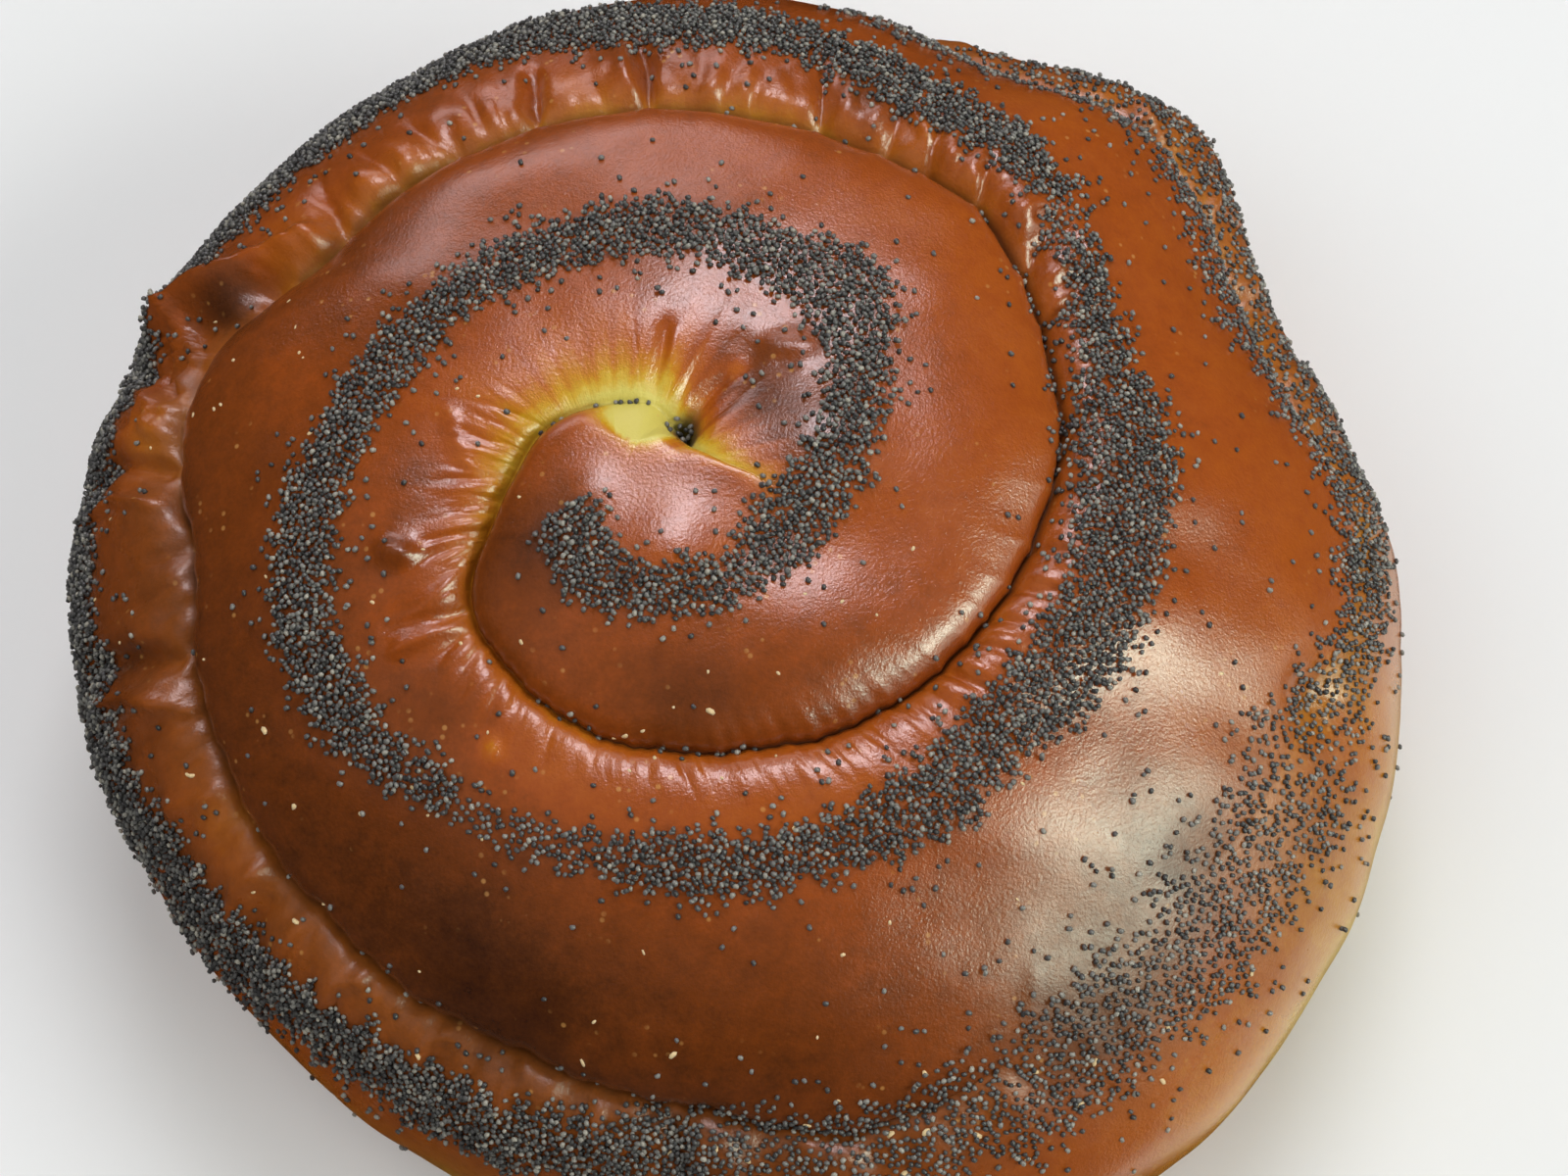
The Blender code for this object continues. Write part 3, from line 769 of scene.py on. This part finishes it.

# Patches that browned more or less than what is round them: coil angle, share in thousandths,
# radius and the change. The darker ones in the hollow on the tail's knob (769 and 777) and along the
# furrows across the left strip (520.5, 531 and 551) are painted shade.
PATCHES = np.array((
    (513, 815, 550, 30), (777, 880, 400, 35), (769, 900, 350, 30), (531, 900, 400, 14),
    (551, 890, 400, 14), (520.5, 920, 400, 10), (686, 1030, 1700, -28), (702, 1030, 1700, -30),
    (670, 1030, 1700, -24), (592, 1050, 1700, -26), (574, 1050, 1600, -22), (612, 1050, 1800, -26),
    (634, 1050, 1800, -24), (706, 895, 350, -4), (722, 945, 600, -6), (753, 985, 600, -12),
    (250, 720, 1600, 6), (55, 235, 400, 4), (195, 383, 400, 12), (-330, 160, 400, -6),
    (53, 204, 120, -30), (-81, 295, 700, 12), (176, 310, 500, 14), (223, 481, 800, 12),
    (-145, 192, 600, 12), (491, 738, 600, -8), (503, 782, 600, -14), (530, 864, 500, -22),
    (571, 858, 500, -10), (22, 207, 800, 14), (-323, 200, 600, 8), (709, 930, 600, -6),
    (-285, 78, 270, -80), (-262, 88, 320, -30), (-246, 100, 280, -20), (-299, 84, 240, -50),
    (236.4, 470, 150, -30), (440, 700, 400, 8), (325, 740, 1400, 10), (321, 800, 800, 16),
    (667, 810, 900, 16), (54, 800, 1200, -8), (421, 680, 300, -12), (431, 700, 350, 16),
    (467, 720, 400, -12))) / (1, 1000, FINE, 100)
# Where the wash pooled thin and the crust browned golden instead of red: coil angle and how much of
# the golden tone it has beside its inner crease, then spots of coil angle, share, radius and amount.
GOLDEN = (
    (-510, 0), (150, 0.2), (200, 0.5), (230, 0.2), (300, 0), (390, 0.2), (430, 0.6), (500, 0.6),
    (520, 0.7), (620, 0.7), (640, 0.5), (690, 0.4), (710, 0.5), (800, 0.4), (840, 0.3))
GOLDEN_REACH = ((400, 0.006), (510, 0.007), (530, 0.014))
GOLDEN_SPOTS = (
    (310, 0.8, 0.016, 0.9), (325, 0.8, 0.012, 0.7), (690, 0.9, 0.02, 0.7), (610, 1.05, 0.02, 0.8),
    (700, 1.05, 0.02, 0.8))
BESIDE_CURVE = 1.6        # how squarely the paleness beside a crease ends
# The reach beside a crease is ragged: size, then the rate and phase of two waves along the coil.
RAGGED = ((0.18, 0.43, 0, 0.17, 1), (0.12, 1.1, 2, 0.29, 0))
DARK_FROM = 0.0029        # depth in a crease, in metres, at which the painted shade starts and is full
DARK_BY = 0.0052
# How strongly the painted shade darkens each crease, by the crease's coil angle.
CREASE_SHADING = (
    (-150, 0), (26, 0), (36, 0.9), (56, 0.9), (64, 0), (225, 0), (250, 0.7), (420, 0.8), (450, 0.7),
    (500, 0.7), (520, 0.9), (640, 0.9), (660, 0.5), (730, 0.6), (840, 0.7))
WRINKLE_REACH = 0.0075    # metres from a crease over which the skin's fine wrinkles die out
WRINKLE_DEPTH = 0.004     # depth of a crease, in metres, at which they are strongest
SIDE_PALENESS = 0.2       # how much paler the loaf's side is near the table, out of the heat

across_step = np.linalg.norm(np.diff(crust_points, axis=1), axis=2)
from_inner = np.concatenate([np.zeros((len(crust_points), 1)), np.cumsum(across_step, axis=1)], axis=1)
to_outer = from_inner[:, -1:] - from_inner
crest_line = crust_point(crust_angles[:, 0], along(CREST, crust_angles[:, 0]))
travelled = np.concatenate([[0], np.cumsum(np.linalg.norm(np.diff(crest_line, axis=0), axis=1))])
strand = np.stack([np.broadcast_to(travelled[:, None], from_inner.shape), from_inner, to_outer], axis=-1)


def spot(at, share, radius):
    """For every grid point, 1 at a place of the crust and dying away over the radius."""
    middle = crust_point(np.array([float(at)]), np.array([share]))[0]
    return np.exp(-(np.linalg.norm(crust_points - middle, axis=-1) / radius) ** 2)


def browned_and_shaded():
    """The browning of every grid point, with the painted shade in it, from the tables above."""
    inner, crest, outer, path = across_strand(crust_angles, crust_shares)
    inward = np.clip(2 * (crest - path) / np.maximum(crest - inner, LEAST_PATH), 0, 1)
    onward = np.clip(2 * (path - crest) / np.maximum(outer - crest, LEAST_PATH), 0, 1)
    flank_in, top, flank_out = (read_off(BROWNING_AND_SHADE, crust_angles, k) for k in (1, 2, 3))
    value = top + (flank_in - top) * inward + (flank_out - top) * onward
    ragged = 1 + sum(size * np.sin(rate * crust_angles + phase) * np.sin(slow * crust_angles + late)
                     for size, rate, phase, slow, late in RAGGED)
    for shift, distance, column in ((0, from_inner, 1), (TURN, to_outer, 3)):
        at = crust_angles + shift
        reach = read_off(BESIDE_CREASE, at, column + 1) * ragged
        here = (at > COIL_START) & (at < COIL_END)
        beside = read_off(BESIDE_CREASE, at, column) - value
        value += here * beside * np.exp(-(distance / reach) ** BESIDE_CURVE)
    for at, share, radius, change in PATCHES:
        value += change * spot(at, share, radius)
    return value - SIDE_PALENESS * np.clip((crust_shares - 1) / SIDE_SHARE, 0, 1)


def corner_values(grid):
    """Values of the grid points carried to the corners of the faces, the underside's last."""
    values = grid.reshape(len(grid) * grid.shape[1], -1)
    below = np.tile(values[-1], (3 * len(fan), 1))
    return np.vstack([values[own_corners.ravel()], below]).astype(np.float32).ravel()


def lay_on_crust(name, grid, kind="FLOAT", field="value"):
    """Keep the grid points' values in the crust's mesh, where its material reads them by name."""
    layer = crust_mesh.attributes.new(name, kind, "CORNER")
    layer.data.foreach_set(field, corner_values(grid))


# Painted shade: the deeper a place lies in a crease, the darker its colour is made, towards near black.
sunk = np.clip((-relief(crust_angles, crust_shares) - DARK_FROM) / (DARK_BY - DARK_FROM), 0, 1)
painted_shade_in, painted_shade_out = (read_off(CREASE_SHADING, crust_angles + shift) for shift in (0, TURN))
painted_shade = np.where(from_inner < to_outer, painted_shade_in, painted_shade_out)
tucked = np.clip(crease_depth(crust_angles) / WRINKLE_DEPTH, 0, 1)
tone = read_off(GOLDEN, crust_angles)
tone = tone * np.exp(-(from_inner / read_off(GOLDEN_REACH, crust_angles)) ** 2)
for at, share, radius, amount in GOLDEN_SPOTS:
    tone = np.maximum(tone, amount * spot(at, share, radius))
lay_on_crust("strand", strand, "FLOAT_VECTOR", "vector")
lay_on_crust("browning", browned_and_shaded())
lay_on_crust("crease_shade", painted_shade * sunk * sunk * (3 - 2 * sunk))
lay_on_crust("gathered", tucked * np.exp(-(from_inner / WRINKLE_REACH) ** 2))
lay_on_crust("golden", tone)

# Egg-washed crust: pale dough, gold, orange, chestnut and mahogany as it browns.
CRUST_COLOURS = [(0.00, (0.62, 0.53, 0.09, 1)), (0.12, (0.6, 0.38, 0.014, 1)),
                 (0.28, (0.52, 0.19, 0.006, 1)), (0.45, (0.42, 0.1, 0.007, 1)),
                 (0.6, (0.32, 0.066, 0.007, 1)), (0.74, (0.185, 0.042, 0.006, 1)),
                 (0.88, (0.085, 0.022, 0.005, 1)), (1.00, (0.03, 0.009, 0.004, 1))]
GOLDEN_COLOURS = [(0.00, (0.62, 0.53, 0.14, 1)), (0.12, (0.57, 0.4, 0.06, 1)),
                  (0.28, (0.45, 0.23, 0.015, 1)), (0.45, (0.34, 0.125, 0.012, 1)),
                  (0.6, (0.25, 0.082, 0.011, 1)), (0.74, (0.155, 0.05, 0.009, 1)),
                  (0.88, (0.075, 0.025, 0.007, 1)), (1.00, (0.03, 0.01, 0.004, 1))]
SPECK_COLOUR = (0.6, 0.3, 0.08, 1)
# Near black, for the painted shade deep in the creases.
CREASE_SHADE_COLOUR = (0.03, 0.011, 0.005, 1)
SPECK_SHARE = 0.5
CREASE_SHADE_SHARE = 0.92
CRUST_ROUGHNESS = 0.4     # about what the nodes below give it
COAT_ROUGHNESS = 0.14
COAT_IOR = 1.45
CRUST_SPECULAR = 0.55
BUMP_STRENGTH = 0.5
BUMP_DISTANCE = 0.00026

crust_finish, crust_shader, hand = material_with_shader(
    "egg_washed_crust", CRUST_ROUGHNESS, Coat_Roughness=COAT_ROUGHNESS, Coat_IOR=COAT_IOR,
    Specular_IOR_Level=CRUST_SPECULAR)


def stored(paint, name, output=2):
    """A value that the mesh keeps under this name, or with output 1 a vector."""
    return paint.node("ShaderNodeAttribute", {"attribute_name": name}, output=output)


def noise(vector, scale, detail=3.0, rough=0.55):
    """Soft noise of about 0 to 1, with so many cells in each unit of the vector."""
    return vector.node("ShaderNodeTexNoise", None, {"Vector": vector, "Scale": scale,
                                                    "Detail": detail, "Roughness": rough})


def along_strand(cells, cells_across, detail, rough):
    """Noise with so many cells in each metre along the strand and across it."""
    stretched = on_strand.node("ShaderNodeVectorMath", {"operation": "MULTIPLY"},
                               {0: on_strand, 1: (cells, cells_across, 0)})
    return noise(stretched, 1.0, detail, rough)


on_loaf = hand.node("ShaderNodeTexCoord", output=3)
on_strand = stored(hand, "strand", output=1)
shade, gathered, golden_tone = (stored(hand, name) for name in ("crease_shade", "gathered", "golden"))

# The browning varies in clouds, mottling and grain, in streaks where the skin is gathered, and in
# bands where it is golden.
clouds = noise(on_loaf, 45) - 0.5
mottle = noise(on_loaf, 420, 4.0, 0.6) - 0.5
grain = noise(on_loaf, 1900, 2.0) - 0.5
streaks = along_strand(90, 900, 3.0, 0.6) - 0.5
bands = along_strand(240, 30, 3.0, 0.6) - 0.5
level = (stored(hand, "browning") + 0.24 * clouds + 0.18 * mottle + 0.1 * grain
         + 0.14 * gathered * streaks + 0.3 * golden_tone * bands)
red_brown = hand.node("ShaderNodeValToRGB", {"stops": CRUST_COLOURS}, {0: level})
golden_brown = hand.node("ShaderNodeValToRGB", {"stops": GOLDEN_COLOURS}, {0: level})
colour = golden_tone.blend(red_brown, golden_brown)
dots = hand.node("ShaderNodeTexVoronoi", None, {"Vector": on_loaf, "Scale": 520})
specks = (1 - dots.between(0.1, 0.22)) * (noise(on_loaf, 130) - 0.1).between(0.42, 0.55)
colour = (SPECK_SHARE * specks).blend(colour, SPECK_COLOUR)
# Deep in the creases the colour is blended towards near black: painted shade.
hand.feed(crust_shader.inputs["Base Color"], (CREASE_SHADE_SHARE * shade).blend(colour, CREASE_SHADE_COLOUR))

# Fine bumps of the baked skin, and a gloss that the wash gives where it lies neither in a crease's painted
# shade nor pale.
wrinkles = along_strand(1500, 420, 2.0, 0.5)
peel = noise(on_loaf, 1800, 3.0, 0.6)
pores = noise(on_loaf, 3000, 2.0, 0.6)
skin = 0.45 * peel + 0.6 * gathered * (wrinkles - 0.5) + 0.34 * pores
hand.feed(crust_shader.inputs["Normal"], hand.node(
    "ShaderNodeBump", None, {"Strength": BUMP_STRENGTH, "Distance": BUMP_DISTANCE, "Height": skin}))
hand.feed(crust_shader.inputs["Roughness"], 0.17 + 0.14 * noise(on_loaf, 160) + 0.5 * shade
          + 0.42 * golden_tone * noise(on_loaf, 700) + 0.4 * (1 - level.between(0.0, 0.2)))
hand.feed(crust_shader.inputs["Coat Weight"], 0.25 * noise(on_loaf, 300) * (1 - shade) * (1 - golden_tone))
crust_mesh.materials.append(crust_finish)
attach(crust, "root")
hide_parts("challah")


# ---- Poppy seeds ----
# Blue-grey poppy seeds, pressed into the egg wash along the strand before it was coiled: a band
# two seeds deep, with strays beside it and a few that have rolled into the creases and the pit.

# The band: coil angle, plan shares of its two edges in thousandths, and the percentage covered.
SEED_BAND = np.array((
    (-152, 78, 140, 60), (-146, 75, 165, 95), (-120, 80, 205, 100), (-100, 110, 195, 100),
    (-80, 145, 195, 95), (-60, 147, 203, 100), (-45, 165, 208, 100), (-30, 167, 237, 100),
    (-10, 172, 260, 95), (10, 232, 303, 100), (30, 303, 372, 100), (45, 308, 410, 100),
    (60, 338, 425, 100), (80, 350, 414, 95), (100, 345, 428, 95), (120, 357, 440, 100),
    (140, 390, 445, 80), (150, 380, 470, 100), (170, 426, 508, 100), (180, 453, 548, 100),
    (200, 522, 610, 100), (210, 537, 627, 100), (220, 555, 615, 90), (232, 548, 592, 70),
    (240, 545, 582, 35), (250, 522, 572, 45), (260, 513, 557, 65), (270, 489, 555, 90),
    (290, 493, 545, 85), (310, 492, 566, 100), (320, 495, 560, 100), (330, 507, 603, 100),
    (345, 540, 632, 100), (360, 551, 659, 100), (372, 583, 685, 100), (382, 630, 688, 90),
    (392, 654, 706, 75), (402, 648, 706, 50), (410, 652, 712, 95), (422, 690, 765, 95),
    (430, 715, 800, 92), (440, 737, 805, 88), (450, 745, 850, 88), (460, 769, 875, 88),
    (470, 811, 915, 90), (480, 839, 935, 90), (500, 876, 955, 90), (520, 915, 985, 90),
    (540, 930, 992, 95), (555, 932, 994, 100), (570, 928, 990, 100), (585, 922, 980, 100),
    (600, 914, 968, 100), (612, 892, 950, 95), (622, 862, 925, 80), (632, 835, 910, 50),
    (645, 825, 920, 46), (660, 795, 915, 42), (668, 788, 905, 44), (675, 788, 908, 42),
    (682, 796, 920, 38), (690, 790, 922, 34), (700, 815, 935, 26), (712, 885, 945, 50),
    (720, 900, 965, 64), (730, 895, 985, 45), (740, 880, 985, 38), (752, 870, 985, 36),
    (762, 865, 982, 38), (772, 862, 968, 38), (780, 865, 955, 30), (790, 880, 955, 25),
    (802, 905, 960, 12))) / (1, 1000, 1000, 100)
SEED_HALF = (0.00041, 0.00036, 0.00031)  # half the length, width and thickness of a seed
SEED_SPACING = 0.00062    # between the middles of neighbours in one layer
SEED_DRAWS = 95000
BAND_STEP = 0.5           # degrees
BAND_MARGIN = 0.02        # added to its width, so that narrow parts get enough
SEED_RANGE = (0.03, 1.02)  # plan shares between which seeds lie
COVER_CURVE = 1.5         # thins the parts that are only partly covered
BAND_WAVES = ((0.007, 0.9, 0.23), (0.006, 1.9))  # the edges' ragged waves: size and rates
SECOND_LAYER_SPACING = 0.0007
SECOND_LAYER_LIFT = 0.00048
SECOND_LAYER_COVER = 0.6  # where the band is thinner than this, there is one layer only
SECOND_LAYER_GAPS = (9, 0.75)  # rate and threshold of the gaps in the second layer
SEED_SPRAY = 0.0007       # metres by which the band's edges are blurred
STRAY_SHARE = 0.022       # of the draws, laid beside the band
STRAY_REACH = 0.0025      # metres over which the strays thin out
# Seeds that rolled into a crease: its coil angles, how far from it they lie as a share, how many.
ROLLED_SEEDS = (
    (44, 64, 0.008, 28), (70, 152, 0.003, 12), (266, 292, 0.004, 16), (366, 384, 0.009, 34),
    (384, 399, 0.006, 18), (405, 412, 0.005, 6), (430, 441, 0.006, 10), (457, 474, 0.003, 30),
    (508, 522, 0.006, 5), (536, 560, 0.003, 8), (722, 731, 0.01, 14), (240, 262, 0.006, 8))
SEED_SUNK = 0.0001
SEED_TILT = 0.35          # radians, as are the seeds' turns
SEED_SIZES = (0.84, 1.12)
SEED_SIDES = 7
SEED_RING = (0.45, 0.92)  # height and width of the seed's two rings, as shares of its half size
SEED_DENT = 0.3
SEED_DRAW = 4
SEED_PIECES = 4
PIECE_DRAW = 20

crust_tree = BVHTree.FromPolygons([Vector(v) for v in crust_vertices], np.vstack([compact, fan]).tolist())


def on_crust(angle, share):
    """A point of the crust at a plan place, on whichever turn of the strand lies there."""
    turn = np.array(angle, float)
    for _ in range(3):
        turn = np.where(share < inner_crease(turn), turn - TURN, turn)
        turn = np.where(share >= outer_crease(turn), turn + TURN, turn)
    return crust_point(turn, share)


def seed_draws():
    """Places in and beside the band, evenly along it, and how densely the seeds lie at each."""
    dice = np.random.default_rng(SEED_DRAW)
    turn, low, high, _ = SEED_BAND.T
    fine = np.arange(turn[0], turn[-1], BAND_STEP)
    line = on_crust(fine, (np.interp(fine, turn, low) + np.interp(fine, turn, high)) / 2)
    width = np.interp(fine, turn, high - low) + BAND_MARGIN
    area = np.cumsum(width * np.linalg.norm(np.gradient(line, axis=0), axis=1))
    angle = np.interp(dice.uniform(area[0], area[-1], SEED_DRAWS), area, fine)
    low, high, cover = (read_off(SEED_BAND, angle, k) for k in (1, 2, 3))
    (size, rate, slow), (small, quick) = BAND_WAVES
    ragged = [size * np.sin(angle * rate + k) * np.sin(angle * slow + k)
              + small * np.sin(angle * quick + 3 * k) for k in (0, 2)]
    low, high = low + ragged[0], high + ragged[1]
    share = low + (high - low) * dice.uniform(0.02, 0.98, SEED_DRAWS)
    share = share + SEED_SPRAY / LOAF_RADIUS * dice.normal(size=SEED_DRAWS)
    stray = dice.uniform(size=SEED_DRAWS) < STRAY_SHARE
    side = np.where(dice.uniform(size=SEED_DRAWS) < 0.5, -1, 1)
    beyond = dice.exponential(STRAY_REACH, SEED_DRAWS) / LOAF_RADIUS
    share = np.where(stray, np.where(side < 0, low - beyond, high + beyond), share)
    cover = np.where(stray, 1.0, cover)
    kept = (share > SEED_RANGE[0]) & (share < SEED_RANGE[1])
    kept = kept & (dice.uniform(size=SEED_DRAWS) < cover ** COVER_CURVE)
    angle, share, cover = angle[kept], share[kept], cover[kept]
    for start, end, spread, count in ROLLED_SEEDS:
        rolled = dice.uniform(start, end, count)
        angle = np.append(angle, rolled)
        share = np.append(share, inner_crease(rolled) + dice.normal(0, spread, count))
        cover = np.append(cover, np.zeros(count))
    return angle, share, cover


def resting_place(point):
    """The nearest place on the crust's faces, and the way out of the crust there."""
    return crust_tree.find_nearest(Vector(point))[:2]


def spaced(points, spacing):
    """The points that keep their distance from all those before them."""
    taken = {}
    kept = []
    for n, point in enumerate(points):
        cell = tuple(int(c // spacing) for c in point)
        around = (taken.get((cell[0] + i, cell[1] + j, cell[2] + k), ())
                  for i in (-1, 0, 1) for j in (-1, 0, 1) for k in (-1, 0, 1))
        if all(math.dist(point, other) >= spacing for group in around for other in group):
            taken.setdefault(cell, []).append(point)
            kept.append(n)
    return kept


def seed_places():
    """Where the seeds lie, and the way up at each: a first layer, then some that lie on it."""
    angle, share, cover = seed_draws()
    places = [resting_place(point) for point in on_crust(angle, share)]
    first = spaced([tuple(place) for place, _ in places], SEED_SPACING)
    laid = [(places[n][0], places[n][1], 0.0) for n in first]
    rate, full = SECOND_LAYER_GAPS
    left = sorted(set(range(len(places))) - set(first))
    left = [n for n in left
            if cover[n] > SECOND_LAYER_COVER and math.sin(rate * share[n] * angle[n]) < full]
    second = spaced([tuple(places[n][0]) for n in left], SECOND_LAYER_SPACING)
    laid += [(places[left[n]][0], places[left[n]][1], SECOND_LAYER_LIFT) for n in second]
    return laid


def seed_shape():
    """A kidney-shaped seed of unit half size, rings of points about its short axis."""
    rise, width = SEED_RING
    points = [(0, 0, -1)]
    for height in (-rise, rise):
        for k in range(SEED_SIDES):
            turn = 2 * math.pi * k / SEED_SIDES
            dent = SEED_DENT if k == 0 else 0.0
            deep = width * (1 - dent) * math.sin(turn + math.pi / 2)
            points.append((width * math.sin(turn), deep, height))
    points.append((0, 0, 1))
    faces = []
    for k in range(SEED_SIDES):
        a, b = 1 + k, 1 + (k + 1) % SEED_SIDES
        c, d = b + SEED_SIDES, a + SEED_SIDES
        faces += [(0, b, a), (a, b, c), (a, c, d), (len(points) - 1, d, c)]
    return np.array(points), np.array(faces)


def scatter(name, shape, faces, laid, size, draw):
    """One mesh of many small bodies, each turned and sized a little differently."""
    dice = random.Random(draw)
    bodies, tints = [], []
    for place, normal, lift in laid:
        turn = Vector(normal).to_track_quat("Z", "X").to_matrix() @ Euler(
            (dice.gauss(0, SEED_TILT), dice.gauss(0, SEED_TILT), dice.uniform(0, 2 * math.pi))).to_matrix()
        scale = dice.uniform(*SEED_SIZES)
        middle = np.array(place) + np.array(normal) * (size[2] * scale - SEED_SUNK + lift)
        bodies.append(shape * np.array(size) * scale @ np.array(turn).T + middle)
        tints.append(dice.random())
    count = len(bodies)
    mesh = bpy.data.meshes.new(name)
    every = (faces[None] + np.arange(count)[:, None, None] * len(shape)).reshape(-1, 3)
    mesh.from_pydata(np.concatenate(bodies), [], every, shade_flat=False)
    tint = mesh.attributes.new("tint", "FLOAT", "POINT")
    tint.data.foreach_set("value", np.repeat(np.array(tints, np.float32), len(shape)))
    return put_in_scene(name, mesh)


# From nearly black to a pale grey, as the seeds differ among themselves.
SEED_COLOURS = [(0.0, (0.04, 0.039, 0.039, 1)), (0.5, (0.098, 0.096, 0.093, 1)),
                (0.85, (0.21, 0.205, 0.185, 1)), (1.0, (0.36, 0.34, 0.28, 1))]
SEED_ROUGHNESS = 0.42
SEED_PITS = 5200          # pits in each metre, and how deep the bump takes them to be
SEED_PIT_DEPTH = 0.00012

seed_finish, seed_shader, hand = material_with_shader("poppy_seed", SEED_ROUGHNESS)
hand.feed(seed_shader.inputs["Base Color"], hand.node(
    "ShaderNodeValToRGB", {"stops": SEED_COLOURS}, {0: stored(hand, "tint")}))
pits = noise(hand.node("ShaderNodeTexCoord", output=3), SEED_PITS, 1.0)
hand.feed(seed_shader.inputs["Normal"], hand.node(
    "ShaderNodeBump", None, {"Strength": 0.5, "Distance": SEED_PIT_DEPTH, "Height": pits}))

seeds = seed_places()
kernel, kernel_faces = seed_shape()
for part, share_of_seeds in enumerate(seeds[k::SEED_PIECES] for k in range(SEED_PIECES)):
    piece = scatter("poppy_seeds_%d" % (part + 1), kernel, kernel_faces, share_of_seeds, SEED_HALF,
                    PIECE_DRAW + part)
    piece.data.materials.append(seed_finish)
    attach(piece, "root")


# ---- Crumbs ----
# Pale flakes and crumbs of dried dough that cling to the crust. The small ones are thinly spread
# over its left and near side, and the larger ones lie mostly on the outer turn.

CRUMB_COUNT = 70
CRUMB_HALF = (0.00036, 0.00025, 0.0001)
LARGE_CRUMB_HALF = (0.00062, 0.0004, 0.00018)
CRUMB_ANGLES = (150, 345)
CRUMB_AREA = (0.02, 0.9)  # squares of their plan shares, so that they are spread evenly
CRUMB_ROUGHNESS = 0.8
CRUMB_COLOUR = (0.74, 0.56, 0.3, 1)
CRUMB_DRAW = 9
# The larger crumbs: coil angle and share.
LARGE_CRUMBS = (
    (-77.4, 0.328), (256.8, 0.808), (278, 0.84), (629.4, 0.867), (266.4, 0.764), (679.8, 0.921),
    (207.6, 0.708), (216.6, 0.74), (-97.8, 0.368), (565.2, 0.851), (600, 0.9), (645, 0.9), (652, 0.88),
    (655, 0.925), (661, 0.9), (664, 0.87), (648, 0.86), (640, 0.895), (671, 0.89), (635, 0.905),
    (625, 0.89), (612, 0.925), (583, 0.87), (659, 0.845), (668, 0.93), (285, 0.86), (290, 0.8),
    (272, 0.88))


def fallen(angle, share):
    """Where a crumb lies at a plan place, the way up there, and no lift."""
    return (*resting_place(on_crust(np.array(float(angle)), np.array(share))), 0.0)


crumb_dice = random.Random(CRUMB_DRAW)
crumbs = [fallen(crumb_dice.uniform(*CRUMB_ANGLES), math.sqrt(crumb_dice.uniform(*CRUMB_AREA)))
          for _ in range(CRUMB_COUNT)]
larger = [fallen(angle, share) for angle, share in LARGE_CRUMBS]
crumb_finish, *_ = material_with_shader("dry_crumb", CRUMB_ROUGHNESS, Base_Color=CRUMB_COLOUR)
for name, laid, size in (("crumbs", crumbs, CRUMB_HALF), ("crumbs_large", larger, LARGE_CRUMB_HALF)):
    crumb_piece = scatter(name, kernel, kernel_faces, laid, size, CRUMB_DRAW)
    crumb_piece.data.materials.append(crumb_finish)
    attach(crumb_piece, "root")
